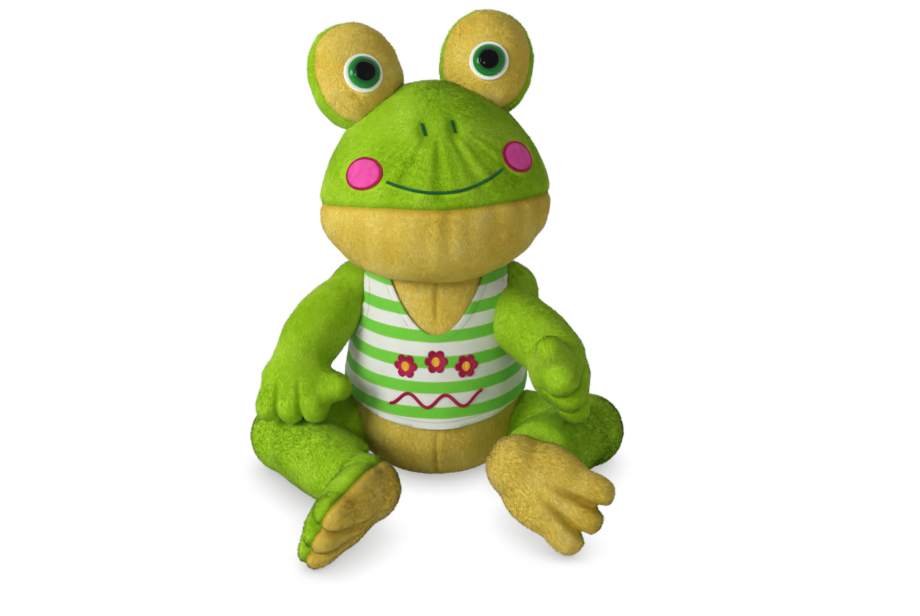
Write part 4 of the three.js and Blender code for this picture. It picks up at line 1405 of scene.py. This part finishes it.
@dataclass
class Torso:
    """The stuffed torso: a yellow belly panel in front of a green back panel."""

    side_seam: float = -19.5 * MM
    yoke_height: float = 162.0 * MM
    yoke_half: float = 43.0 * MM
    neck_height: float = 0.225
    belly_line_mm: tuple = (
        (-60, 2), (-90, 14), (-101, 40), (-101, 70), (-94, 110), (-80, 150), (-62, 185), (-52, 215))

    def build(self, looks: dict) -> bpy.types.Object:
        """Makes the torso's covers.

        Args:
            looks: the materials by the record's slots.

        Returns:
            The whole form before it was cut, for the vest to lie on.
        """
        seam = Seam(Vector((0, self.side_seam, 0)), Vector((0, -1, 0)))
        line = tuple(Vector((0, y * MM, z * MM)) for y, z in self.belly_line_mm)
        nodes = ["torso_belly_panel", "torso_back_panel", "torso_filling"]
        whole = StuffedBody("torso_form", nodes, voxel=4.5 * MM, seams=[seam],
                            grooves=[Groove(line, 2.0 * MM, 3.0 * MM)]).body()
        seam.part(whole, looks, "torso", fill=0.85, parts={
            "plush_belly": ("plush_yellow", nodes[0]), "plush_back": ("plush_green", *nodes[1:])})
        return whole

    def fur(self, pile: Pile, whole: bpy.types.Object, vest: Vest, around: list[BVHTree]) -> None:
        """Grows the pile where the vest and the limbs leave the torso bare.

        Args:
            pile: the plush's pile.
            whole: the torso's form.
            vest: the vest.
            around: the surfaces of what is joined to the torso.
        """
        roots = pile.spread(whole)
        bare = (vest.covers(roots.spots) < 1.0) & (roots.spots[:, 2] < self.neck_height)
        roots = roots.kept(bare).clear_of(around, 1.0 * MM)
        x, y, z = roots.spots.T
        green = (y > self.side_seam) | ((z > self.yoke_height) & (np.abs(x) > self.yoke_half))
        down = np.array((0.0, 0.0, -1.0))
        for name, slot, mine in (("belly", "plush_yellow", ~green), ("back", "plush_green", green)):
            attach(pile.grow(f"pile_{name}", slot, roots.kept(mine), down), "torso")


@dataclass
class Head:
    """The stuffed head: a green crown over a yellow jaw, with its face sewn on."""

    place: Place = field(default_factory=lambda: Place.laid((0, 0, 229.5), (-12, -3.7, 9)))
    seam_rise_mm: float = 39.0
    mouth_half_width_mm: float = 54.5
    mouth_rise_mm: float = 16.5
    smile_mm: float = 14.5
    cheek_half_mm: tuple = (18.0, 14.0)
    cheek_across_mm: float = 74.0
    cheek_rise_mm: float = 40.0
    nostril_spread_mm: float = 14.0
    nostril_rise_mm: float = 74.0
    nostril_half_mm: float = 6.3
    nostril_steep: float = 9.0
    thread_mm: float = 0.95

    @property
    def seam(self) -> Seam:
        """The mouth seam, whose end on the frog's right climbs."""
        return Seam(self.place.at(0, 0, self.seam_rise_mm), self.place.way(0, 0, 1), depth=2.0 * MM,
                    pucker=1.2 * MM, pitch=13 * MM, climb=11.0 * MM, place=self.place)

    def on_face(self, tree: BVHTree, across: float, rise: float) -> tuple[Vector, Vector]:
        """A point of the face in front of a spot in the head's own axes, and the way off it."""
        start = self.place.at(across, -400, self.seam_rise_mm + rise)
        spot, off, _, _ = tree.ray_cast(start, self.place.way(0, 1, 0))
        return spot, off

    def build(self, looks: dict) -> bpy.types.Object:
        """Makes the head's covers and its face.

        Args:
            looks: the materials by the record's slots.

        Returns:
            The whole form before it was cut, for the pile.
        """
        whole = StuffedBody("head_form", ["head_crown", "head_jaw", "head_filling"],
                            voxel=4.5 * MM, seams=[self.seam]).body()
        self.pucker_snout(whole)
        self.seam.part(whole, looks, "head", fill=0.85, parts={
            "plush_crown": ("plush_green", "head_crown", "head_filling"),
            "plush_jaw": ("plush_yellow", "head_jaw")})
        tree = tree_of(whole)
        for side in Side:
            self.cheek(tree, side, looks)
            self.nostril(tree, side, looks)
        self.smile(tree, looks)
        return whole

    def fur(self, pile: Pile, whole: bpy.types.Object, around: list[BVHTree]) -> None:
        """Grows the head's pile, which lies down and away from the face's middle.

        Args:
            pile: the plush's pile.
            whole: the head's form.
            around: the surfaces of what is joined to the head.
        """
        roots = pile.spread(whole)
        own = self.place.inside(roots.spots)
        x, rise, front = own[:, 0], own[:, 2] - self.seam_rise_mm, own[:, 1] < 0
        taken = np.zeros(len(x), bool)
        half, above = self.cheek_half_mm, rise - self.nostril_rise_mm
        for side in Side:
            across = (x - side.value * self.cheek_across_mm) / (half[0] * 1.02)
            taken |= np.hypot(across, (rise - self.cheek_rise_mm) / (half[1] * 1.12)) < 1
            across = x - side.value * self.nostril_spread_mm + above / self.nostril_steep
            taken |= np.hypot(across, np.maximum(abs(above) - 6, 0)) < 2.4
        smile = self.mouth_rise_mm + self.smile_mm * (x / self.mouth_half_width_mm) ** 2
        taken |= (abs(rise - smile) < 2.6) & (abs(x) < self.mouth_half_width_mm + 1)
        roots = roots.kept(~(taken & front)).clear_of(around, 0.6 * MM)
        above = self.seam.heights(roots.spots) >= 0
        for name, slot, which in (("crown", "plush_green", above), ("jaw", "plush_yellow", ~above)):
            mine = roots.kept(which)
            own = self.place.inside(mine.spots)
            nap = np.column_stack((own[:, 0] * 0.006, own[:, 1] * 0.004, np.full(len(own), -0.8)))
            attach(pile.grow(f"pile_{name}", slot, mine, nap), "head")

    def pucker_snout(self, whole: bpy.types.Object) -> None:
        """Draws in the crown at the nostril stitches, with creases that fan out below them."""
        spots, out = coordinates(whole.data), facing(whole.data)
        own = self.place.inside(spots)
        rise = own[:, 2] - self.seam_rise_mm
        front = own[:, 1] < -20
        x = own[:, 0]
        inward = np.zeros(len(spots))
        for side in Side:
            across = x - side.value * self.nostril_spread_mm
            gap = np.hypot(across, (rise - self.nostril_rise_mm) * 0.6)
            inward += 3.0 * MM * np.exp(-((gap / 6.5) ** 2))
        fall = np.clip((self.nostril_rise_mm - 4 - rise) / 60, 0, 1)
        fan = x / (0.35 + fall)
        ridge = np.sin(fan * 0.21) + 0.6 * np.sin(fan * 0.37 + 1.3)
        fade = np.exp(-((x / 62) ** 2)) * np.clip(fall * 4, 0, 1) * np.clip((rise - 2) / 8, 0, 1)
        inward -= 0.85 * MM * ridge * fade
        jaw = np.clip(-rise / 6, 0, 1) * np.clip((rise + 70) / 40, 0, 1)
        inward -= 0.5 * MM * np.sin(x * 0.26 + 0.8 * np.sin(x * 0.07)) * jaw
        inward[~front] *= 0.0
        # The drawn-in depth is also kept as the crease value, which paints shade on the plush in
        # the nostril pits and the creases' valleys.
        crease = kept_value(whole.data, "crease")
        reshape(whole.data, spots - out * inward[:, None])
        keep_value(whole.data, "crease", np.maximum(crease, np.clip(inward / (2.6 * MM), 0, 0.6)))

    def cheek(self, tree: BVHTree, side: Side, looks: dict) -> None:
        """Sews on one felt cheek inside its satin border."""
        spot, off = self.on_face(tree, side.value * self.cheek_across_mm, self.cheek_rise_mm)
        across = self.place.way(0, 0, 1).cross(off).normalized()
        rise = off.cross(across)
        half = self.cheek_half_mm

        def laid(share: float, angle: float, lift: float) -> tuple[Vector, Vector]:
            """A point of the oval on the crown, lifted off it."""
            start = spot + off * 0.05 + across * (half[0] * MM * share * math.cos(angle)) \
                + rise * (half[1] * MM * share * math.sin(angle))
            where, facing_out, _, _ = tree.ray_cast(start, -off)
            return where + facing_out * lift, facing_out

        bm = spun([(share, 0, 0) for share in (0.0, 0.2, 0.4, 0.6, 0.8, 0.93, 1.0)], steps=48)
        for vert in bm.verts:
            share, angle = math.hypot(vert.co.x, vert.co.y), math.atan2(vert.co.y, vert.co.x)
            lift = 1.0 + 1.1 * math.sqrt(max(0.0, 1 - share ** 2))
            vert.co, _ = laid(share, angle, lift * MM)
        if sum((face.normal.dot(off) for face in bm.faces)) < 0:
            bmesh.ops.reverse_faces(bm, faces=bm.faces)
        bm.normal_update()
        bmesh.ops.solidify(bm, geom=bm.faces[:], thickness=1.4 * MM)
        fitted(shown(bm, f"felt_cheek_{side.word}"), looks, "pink_felt", "head",
               f"cheek_{side.word}")
        count = round(math.pi * sum(half) / (self.thread_mm * 0.92))
        stitches = []
        for step in range(count):
            angle = 2 * math.pi * step / count
            inner, away = laid(0.93, angle, 1.0 * MM)
            outer, _ = laid(1.14, angle + 0.05, 0.3 * MM)
            stitches.append((inner, outer, away))
        border = satin(f"satin_cheek_border_{side.word}", stitches, self.thread_mm * MM, 0.6 * MM)
        fitted(border, looks, "crimson_thread", "head", f"cheek_border_{side.word}")

    def stitched_line(self, tree: BVHTree, name: str, line: list[tuple],
                      width_mm: float) -> bpy.types.Object:
        """Slanted satin stitches that cover a line over the face.

        Args:
            tree: the face's surface.
            name: the piece's name.
            line: points across and above the mouth seam, in millimetres.
            width_mm: the width of the line of stitches.

        Returns:
            The piece.
        """
        dense, step = [], self.thread_mm * 0.85
        for (x0, z0), (x1, z1) in zip(line, line[1:]):
            parts = max(1, round(math.hypot(x1 - x0, z1 - z0) / step))
            dense += [(x0 + (x1 - x0) * i / parts, z0 + (z1 - z0) * i / parts)
                      for i in range(parts)]
        dense.append(line[-1])
        stitches = []
        for before, here, after in zip(dense, dense[1:], dense[2:]):
            along = Vector((after[0] - before[0], after[1] - before[1])).normalized()
            slant = Vector((-along.y, along.x)) * 0.9 + along * 0.45
            ends = []
            for sign in (-1, 1):
                x, z = (here[i] + sign * slant[i] * width_mm / 2 for i in (0, 1))
                where, off = self.on_face(tree, x, z)
                ends.append(where + off * 0.5 * MM)
            stitches.append((*ends, self.on_face(tree, *here)[1]))
        return satin(name, stitches, self.thread_mm * 1.15 * MM, 1.3 * MM)

    def smile(self, tree: BVHTree, looks: dict) -> None:
        """Stitches the smile."""
        line = [(share * self.mouth_half_width_mm, self.mouth_rise_mm + self.smile_mm * share ** 2)
                for share in np.linspace(-1, 1, 41)]
        mouth = self.stitched_line(tree, "stitched_smile", line, 3.2)
        fitted(mouth, looks, "green_thread", "head", "mouth_stitch")

    def nostril(self, tree: BVHTree, side: Side, looks: dict) -> None:
        """Stitches one nostril."""
        across, half = side.value * self.nostril_spread_mm, self.nostril_half_mm
        line = [(across - share * half / self.nostril_steep, self.nostril_rise_mm + share * half)
                for share in np.linspace(-1, 1, 5)]
        stitch = self.stitched_line(tree, f"stitched_nostril_{side.word}", line, 3.3)
        fitted(stitch, looks, "green_thread", "head", f"nostril_stitch_{side.word}")


@dataclass
class EyeMound:
    """A stuffed mound with a yellow front and a green back, and the safety eye in it."""

    side: Side
    head: Place
    spread_mm: float = 64.5
    forward_mm: float = 13.5
    height_mm: float = 39.0 + 115.0 * (1 - (64.5 / 113.0) ** 2) ** (1 / 1.55) + 39.0
    seam_forward_mm: float = 12.0
    back_lean_deg: float = 14.0
    splay_deg: float = 12.0
    toe_in_deg: float = 10.0
    eye_out_mm: float = 3.5
    eye_down_mm: float = 4.9
    half_depth_mm: float = 36.0
    half_width_mm: float = 45.0
    base_mm: float = 19.0
    iris_mm: float = 15.5
    pupil_mm: float = 9.4
    base_thick_mm: float = 4.9
    dome_mm: float = 9.3

    @property
    def place(self) -> Place:
        """Where the mound stands on the head."""
        sign = self.side.value
        point = (sign * self.spread_mm, -self.forward_mm, self.height_mm)
        turn = (-self.back_lean_deg, sign * self.splay_deg, -sign * self.toe_in_deg)
        return Place.laid(point, turn, self.head)

    @property
    def seam(self) -> Seam:
        """The seam between its yellow front and its green back."""
        return Seam(self.place.at(0, -self.seam_forward_mm, 0), self.place.way(0, -1, 0),
                    depth=1.6 * MM, width=3.4 * MM, pucker=0.9 * MM, pitch=8 * MM)

    def build(self, looks: dict) -> bpy.types.Object:
        """Makes the mound's covers and the eye.

        Args:
            looks: the materials by the record's slots.

        Returns:
            The whole form before it was cut, for the pile.
        """
        word = self.side.word
        nodes = [f"eye_mound_{part}_{word}" for part in ("front", "back", "filling")]
        whole = StuffedBody(f"mound_form_{word}", nodes, voxel=3.5 * MM, smoothing=8, cap=2.5 * MM,
                            seams=[self.seam]).body()
        self.seam.part(whole, looks, "head", fill=0.9, parts={
            f"plush_mound_front_{word}": ("plush_yellow", nodes[0], nodes[2]),
            f"plush_mound_back_{word}": ("plush_green", nodes[1])})
        self.eye(looks)
        return whole

    def fur(self, pile: Pile, whole: bpy.types.Object, around: list[BVHTree]) -> None:
        """Grows the mound's pile round its eye.

        Args:
            pile: the plush's pile.
            whole: the mound's form.
            around: the surfaces of what the mound is joined to.
        """
        roots = pile.spread(whole)
        own = self.place.inside(roots.spots)
        gap = np.hypot(own[:, 0] - self.side.value * self.eye_out_mm, own[:, 2] + self.eye_down_mm)
        roots = roots.kept((gap > self.base_mm + 0.4) | (own[:, 1] > 0)).clear_of(around, 0.6 * MM)
        ahead, nap = self.seam.heights(roots.spots) >= 0, np.array((0.0, 0.25, -0.7))
        for name, slot, mine in (("front", "plush_yellow", ahead), ("back", "plush_green", ~ahead)):
            name = f"pile_mound_{name}_{self.side.word}"
            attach(pile.grow(name, slot, roots.kept(mine), nap), "head")

    def eye(self, looks: dict) -> None:
        """Turns the eye's base, iris and pupil."""
        word, sign = self.side.word, self.side.value
        sag = self.half_depth_mm * (1 - math.sqrt(1 - (self.base_mm / self.half_width_mm) ** 2))
        seat = Place.laid((sign * self.eye_out_mm, sag - self.half_depth_mm, -self.eye_down_mm),
                          (90, 0, 0), self.place).matrix
        lip, base = self.base_thick_mm, self.base_mm

        def dome(radius: float, lift: float = 0.0) -> float:
            """The clear dome's height over the base at a radius."""
            return lip + 0.3 + lift + self.dome_mm * (
                math.sqrt(1 - (0.94 * radius / self.iris_mm) ** 2) - 0.1)

        rim = [(base - 0.25 * lip + 0.25 * lip * math.sin(a),
                0.4 + 0.45 * lip - 0.45 * lip * math.cos(a)) for a in np.linspace(0, math.pi, 9)]
        base_profile = [(0, -16.5), (3, -16.5), (3, 0.4), *rim, (self.iris_mm + 0.4, lip), (0, lip)]
        iris_profile = [(self.pupil_mm, lip + 0.2), (self.iris_mm, lip + 0.2)] + [
            (r, dome(r)) for r in np.linspace(self.iris_mm, self.pupil_mm, 8)] + [
            (self.pupil_mm, lip + 0.2)]
        pupil_profile = [(0, lip + 0.2), (self.pupil_mm - 0.05, lip + 0.2)] + [
            (r, dome(r)) for r in np.linspace(self.pupil_mm - 0.05, 0, 9)]
        for part, profile, slot in (("base", base_profile, "white_plastic"),
                                    ("iris", iris_profile, "green_plastic"),
                                    ("pupil", pupil_profile, "black_plastic")):
            piece = turned(f"turned_eye_{part}_{word}", profile, seat)
            fitted(piece, looks, slot, "head", f"eye_{part}_{word}")
        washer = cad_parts[f"eye_washer_{word}"]
        washer.data.materials.clear()
        washer.data.materials.append(looks["white_plastic"])


@dataclass
class Arm:
    """One stuffed arm that ends in a hand with three fingers and a thumb."""

    side: Side
    shoulder_mm: tuple
    hand: Place
    slope_mm: float
    slope_reach_mm: float = 62.0
    slope_fade_mm: float = 30.0
    slope_swell_mm: float = 1.2
    slope_times: int = 60

    def slope(self, whole: bpy.types.Object) -> None:
        """Draws the shoulder's top in, so that it runs down into the arm in one slope."""
        shoulder = np.array(self.shoulder_mm) * MM
        start = coordinates(whole.data)
        relax(whole.data, self.slope_times, 0.5)
        gap = np.linalg.norm(start - shoulder, axis=1)[:, None]
        near = np.clip((self.slope_reach_mm * MM - gap) / (self.slope_fade_mm * MM), 0, 1)
        smooth = coordinates(whole.data) + facing(whole.data) * self.slope_swell_mm * MM
        spots = start + (smooth - start) * near
        aim = np.array(Vector((self.side.value * 0.75, -0.1, 0.65)).normalized())
        away = spots - shoulder
        share = np.clip((away @ aim / np.linalg.norm(away, axis=1) - 0.1) / 0.8, 0, 1)[:, None]
        spots -= aim * self.slope_mm * MM * share ** 2 * (3 - 2 * share) * near
        reshape(whole.data, spots)

    def build(self, looks: dict) -> bpy.types.Object:
        """Makes the arm's cover.

        Args:
            looks: the materials by the record's slots.

        Returns:
            The cover.
        """
        word = self.side.word
        fingers = [Cleft(self.hand, ((x * 0.8, -12), (x, -48)), (0, 1), 2.6 * MM, 2.8)
                   for x in (-13, 13)]
        nodes = [f"arm_cover_{word}", f"arm_filling_{word}"]
        whole = StuffedBody(f"arm_form_{word}", nodes, voxel=3.5 * MM, smoothing=10, cap=3.0 * MM,
                            grooves=fingers).body()
        self.slope(whole)
        whole.name = f"plush_arm_{word}"
        fitted(whole, looks, "plush_green", "", *nodes)
        self.follow(whole)
        return whole

    def follow(self, piece: bpy.types.Object) -> None:
        """Bakes a piece's place into its mesh."""
        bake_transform(piece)

    def fur(self, pile: Pile, whole: bpy.types.Object, around: list[BVHTree]) -> None:
        """Grows the arm's pile, which lies towards the hand.

        Args:
            pile: the plush's pile.
            whole: the arm's cover.
            around: the surfaces of what the arm is joined to.
        """
        roots = pile.spread(whole).clear_of(around, 3.4 * MM)
        nap = self.hand.way(0, -1, 0) * 0.5 + Vector((0, -0.2, -0.7))
        self.follow(pile.grow(f"pile_arm_{self.side.word}", "plush_green", roots, np.array(nap)))


@dataclass
class Leg:
    """One stuffed leg: thigh and shin folded at the knee, and a foot with a yellow sole."""

    side: Side
    hip_mm: tuple
    knee_mm: tuple
    ankle_mm: tuple
    thigh_deg: float
    foot_turn: tuple
    foot_half_thick_mm: float = 23.5
    toe_part_deg: float = 9.5
    toe_start_mm: float = 34.0
    toe_end_mm: float = 104.0

    def __post_init__(self) -> None:
        """Works out the leg's points, ways and cutting planes."""
        sign = self.side.value
        self.hip, self.knee, self.ankle = (
            Vector(point) * MM for point in (self.hip_mm, self.knee_mm, self.ankle_mm))
        angle = math.radians(self.thigh_deg)
        self.out = Vector((sign * math.cos(angle), -math.sin(angle), 0))
        self.down = (self.ankle - self.knee).normalized()
        self.across = (self.out + self.down).normalized()
        self.foot = Place.laid(self.ankle_mm, self.foot_turn)
        self.sole_seam = Seam(self.foot.at(0, 0, 0), self.foot.way(0, -1, 0), depth=1.6 * MM,
                              width=3.5 * MM, pucker=0.6 * MM, pitch=8 * MM)
        self.heel = self.foot.at(0, self.foot_half_thick_mm + 0.8, 0)
        self.rear = self.foot.way(0, 1, 0)
        self.planes = {
            "thigh": [(self.knee, self.across)],
            "shin": [(self.knee, -self.across), (self.heel, -self.rear)],
            "foot_upper": [(self.heel, self.rear), (self.sole_seam.point, self.sole_seam.outward)],
            "foot_sole": [(self.sole_seam.point, -self.sole_seam.outward)],
        }

    def build(self, looks: dict) -> bpy.types.Object:
        """Makes the leg's covers.

        Args:
            looks: the materials by the record's slots.

        Returns:
            The whole form before it was cut, for the pile.
        """
        word = self.side.word
        nodes = [f"{part}_{word}" for part in (
            "thigh_cover", "thigh_filling", "shin_cover", "shin_filling",
            "foot_upper", "foot_sole", "foot_filling")]
        whole = StuffedBody(f"leg_form_{word}", nodes, voxel=3.8 * MM, join=1.4 * MM, smoothing=8,
                            cap=2.5 * MM).body()
        self.draw_foot(whole)
        stands = {"thigh": nodes[:2], "shin": nodes[2:4], "foot_upper": [nodes[4], nodes[6]],
                  "foot_sole": [nodes[5]]}
        for part, planes in self.planes.items():
            piece = StuffedBody.cut(whole, f"plush_{part}_{word}", planes)
            fitted(piece, looks, self.slot(part), "", *stands[part])
            self.follow(piece, part)
        return whole

    @staticmethod
    def slot(part: str) -> str:
        """The plush of one part of the leg."""
        return "plush_yellow" if part == "foot_sole" else "plush_green"

    def follow(self, piece: bpy.types.Object, part: str) -> None:
        """Bakes a piece's place into its mesh, alike for every part of the leg.

        Args:
            piece: the cover or its pile.
            part: which part of the leg it belongs to.
        """
        if part == "thigh":
            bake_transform(piece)
        elif part == "shin":
            self.knee + self.across * 45 * MM
            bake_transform(piece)
        else:
            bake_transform(piece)

    def draw_foot(self, whole: bpy.types.Object) -> None:
        """Pinches the foot where its sole is sewn on, and parts its toes."""
        clefts = []
        for turn in (-self.toe_part_deg, self.toe_part_deg):
            x, z = self.side.value * math.cos(math.radians(turn)), math.sin(math.radians(turn))
            line = tuple((x * reach, z * reach) for reach in (self.toe_start_mm, self.toe_end_mm))
            clefts.append(Cleft(self.foot, line, (0, 2), 8.0 * MM, 3.4))
        spots, out = coordinates(whole.data), facing(whole.data)
        drawn = self.sole_seam.draw(spots)
        inward = self.sole_seam.depth * drawn - self.sole_seam.puckers(spots)
        crease = drawn.copy()
        for cleft in clefts:
            parted = cleft.draw(spots)
            inward += cleft.depth * parted
            crease = np.maximum(crease, parted)
        spots -= out * inward[:, None]
        spots[:, 2] = np.maximum(spots[:, 2], 0.0)
        reshape(whole.data, spots)
        relax(whole.data, 1, 0.35)
        # The crease value paints shade on the plush in the sole seam and between the toes.
        keep_value(whole.data, "crease", crease ** 1.5)

    def fur(self, pile: Pile, whole: bpy.types.Object, around: list[BVHTree]) -> None:
        """Grows the leg's pile, which lies towards the toes.

        Args:
            pile: the plush's pile.
            whole: the leg's form.
            around: the surfaces of what the leg is joined to.
        """
        roots = pile.spread(whole).clear_of(around, 2.0 * MM)
        sag, toes = Vector((0, 0, -0.3)), self.foot.way(self.side.value, 0, 0)
        naps = {"thigh": self.out + sag, "shin": self.down + sag, "foot_upper": toes,
                "foot_sole": toes}
        for part, planes in self.planes.items():
            name, nap = f"pile_{part}_{self.side.word}", np.array(naps[part])
            self.follow(pile.grow(name, self.slot(part), roots.past(planes), nap), part)


@dataclass
class Studio:
    """The pale floor, the soft lights and the camera at the photograph's angle."""

    distance: float = 1.2684
    elevation_deg: float = 20.0
    aim: tuple = (0.0, 0.0, 0.2078)
    focal_px: float = 1250.0
    frame_px: tuple = (920, 616)
    aim_px: tuple = (436, 258)
    sensor_mm: float = 36.0
    lamps: tuple = (
        ("key", (-1.5, -1.1, 1.15), 0.8, 29.0),
        ("window", (-0.6, -1.5, 1.0), 0.13, 3.0),
        ("fill", (1.3, -1.3, 0.7), 1.2, 1.5),
        ("rim", (0.3, 1.3, 1.4), 1.0, 6.0))

    def build(self) -> None:
        """Sets the stage."""
        scene = bpy.context.scene
        scene.view_settings.view_transform = "Standard"
        camera = bpy.data.objects.new("camera", bpy.data.cameras.new("camera"))
        scene.collection.objects.link(camera)
        angle = math.radians(self.elevation_deg)
        back = Vector((0, -math.cos(angle), math.sin(angle)))
        camera.location = Vector(self.aim) + back * self.distance
        camera.rotation_mode = "QUATERNION"
        camera.rotation_quaternion = (-back).to_track_quat("-Z", "Y")
        width, height = self.frame_px
        camera.data.sensor_width = self.sensor_mm
        camera.data.lens = self.focal_px / width * self.sensor_mm
        camera.data.shift_x = (width / 2 - self.aim_px[0]) / width
        camera.data.shift_y = (self.aim_px[1] - height / 2) / width
        camera.data.clip_start, camera.data.clip_end = 0.05, 20.0
        scene.camera = camera
        for lamp in self.lamps:
            self.lamp(*lamp)
        self.backdrop()
        self.floor()

    def lamp(self, name: str, point: tuple, size: float, power: float) -> None:
        """Hangs one square soft lamp that faces the frog."""
        light = bpy.data.lights.new(name, "AREA")
        light.size, light.energy = size, power
        obj = bpy.data.objects.new(name, light)
        obj.location = point
        obj.rotation_mode = "QUATERNION"
        obj.rotation_quaternion = (Vector(self.aim) - Vector(point)).to_track_quat("-Z", "Y")
        bpy.context.scene.collection.objects.link(obj)

    @staticmethod
    def backdrop() -> None:
        """Makes the world white to the camera and in reflections, and soft as a light."""
        paint = Paint("studio", "worlds")
        strength = paint.node("ShaderNodeMapRange", {}, {0: paint.seen(), 3: 0.3, 4: 1.0})
        light = paint.node("ShaderNodeBackground", {}, {"Color": "#ffffff", "Strength": strength})
        paint.node("ShaderNodeOutputWorld", {}, {"Surface": light})
        bpy.context.scene.world = paint.block

    @staticmethod
    def floor() -> None:
        """Lays the plain pale floor, which glows to the camera with a painted soft shadow near the
        frog.
        """
        bm = bmesh.new()
        bmesh.ops.create_grid(bm, x_segments=2, y_segments=2, size=6.0)
        bmesh.ops.translate(bm, verts=bm.verts, vec=(0, 0, -0.0006))
        floor = shown(bm, "floor")
        paint = Paint("pale_floor")
        speck = paint.grain(paint.spot(), 300.0)
        plain = paint.node("ShaderNodeBsdfDiffuse", {}, {
            "Color": paint.mixed(speck, "#f4f4f2", "#f8f8f6")})
        # Painted shadow: to the camera the floor glows, greyer where ambient occlusion finds the
        # frog near, not shaded by the lamps.
        open_air = paint.node("ShaderNodeAmbientOcclusion", {"samples": 16}, {"Distance": 0.05}, 1)
        shade = paint.mixed(open_air.part(0.05, 0.75), "#b4b4b0", "#ffffff")
        white = paint.node("ShaderNodeEmission", {}, {"Color": shade, "Strength": 1.0})
        both = paint.node("ShaderNodeMixShader", {}, {0: paint.seen(), 1: plain, 2: white})
        paint.node("ShaderNodeOutputMaterial", {}, {"Surface": both})
        floor.data.materials.append(paint.block)


def finishes() -> tuple[dict[str, bpy.types.Material], dict[str, list[bpy.types.Material]]]:
    """Every material by the record's slot that it stands for, and the shades of the tufts."""
    made = {
        "plush_green": PileFinish(
            "brushed_green_plush", "#bfe24a", "#a2cf2a", "#85b60e", "#527e00"),
        "plush_yellow": PileFinish(
            "brushed_yellow_plush", "#f1de88", "#e3c95a", "#d3b13c", "#9c7a16"),
        "vest_knit": KnitFinish("striped_jersey", "#eceee8", "#74d23e", "#b9cc6a"),
        "green_thread": ThreadFinish("green_thread_satin", "#0a6c3c", "#044426"),
        "crimson_thread": ThreadFinish("crimson_thread_satin", "#c01a50", "#8a0c34"),
        "yellow_thread": ThreadFinish("yellow_thread_satin", "#f0bc3c", "#c68c1c"),
        "pink_felt": FeltFinish("pink_velvet", "#ea5cab", "#cf3f8e"),
        "white_plastic": PlasticFinish(
            "white_moulding", "#f4f4ee", "#e6e6e0", gloss=0.2, shine=0.35),
        "green_plastic": PlasticFinish("green_iris", "#033a10", "#128c30", shine=0.2, ring=1.0),
        "black_plastic": PlasticFinish("black_pupil", "#040404", "#010101", shine=0.08),
    }
    tufts = {slot: finish.shades() for slot, finish in made.items()
             if isinstance(finish, PileFinish)}
    return {slot: finish.material() for slot, finish in made.items()}, tufts


def main() -> None:
    """Builds the frog piece by piece, and then the studio."""
    logging.basicConfig(level=logging.INFO, format="%(message)s")
    looks, tufts = finishes()
    pile = Pile(tufts)
    torso, head, vest = Torso(), Head(), Vest()
    mounds = [EyeMound(side, head.place) for side in Side]
    arms = [
        Arm(Side.RIGHT, shoulder_mm=(-82.131, 0, 177.5), slope_mm=2.0,
            hand=Place.laid((-136.020, -75.960, 108.766), (36, -5, -12))),
        Arm(Side.LEFT, shoulder_mm=(82.131, 0, 177.5), slope_mm=7.0,
            hand=Place.laid((117.787, -102.274, 128.875), (20, 62, 22)))]
    legs = [
        Leg(Side.RIGHT, hip_mm=(-91.791, -29.5, 34.5), knee_mm=(-150.715, -55.735, 34.5),
            ankle_mm=(-64.604, -174.256, 45.058), thigh_deg=24, foot_turn=(24, -6, 64)),
        Leg(Side.LEFT, hip_mm=(91.791, -29.5, 34.5), knee_mm=(154.882, -42.910, 34.5),
            ankle_mm=(77.248, -167.149, 62.653), thigh_deg=12, foot_turn=(-28, 24, -24))]

    torso_form, head_form = torso.build(looks), head.build(looks)
    NeckSeam().build(looks)
    mound_forms, arm_forms, leg_forms = (
        [part.build(looks) for part in row] for row in (mounds, arms, legs))
    torso_tree, head_tree = tree_of(torso_form), tree_of(head_form)
    mound_trees, arm_trees, leg_trees = (
        [tree_of(form) for form in row] for row in (mound_forms, arm_forms, leg_forms))
    Motif().build(vest.build([torso_tree, *arm_trees], looks), looks)

    torso.fur(pile, torso_form, vest, [head_tree, *arm_trees, *leg_trees])
    head.fur(pile, head_form, [torso_tree, *mound_trees])
    for mound, form in zip(mounds, mound_forms):
        mound.fur(pile, form, [head_tree])
    for arm, form in zip(arms, arm_forms):
        arm.fur(pile, form, [torso_tree])
    for leg, form in zip(legs, leg_forms):
        leg.fur(pile, form, [torso_tree])
    for form in (torso_form, head_form, *mound_forms, *leg_forms):
        bpy.data.objects.remove(form)

    Studio().build()


if __name__ == "__main__":
    main()
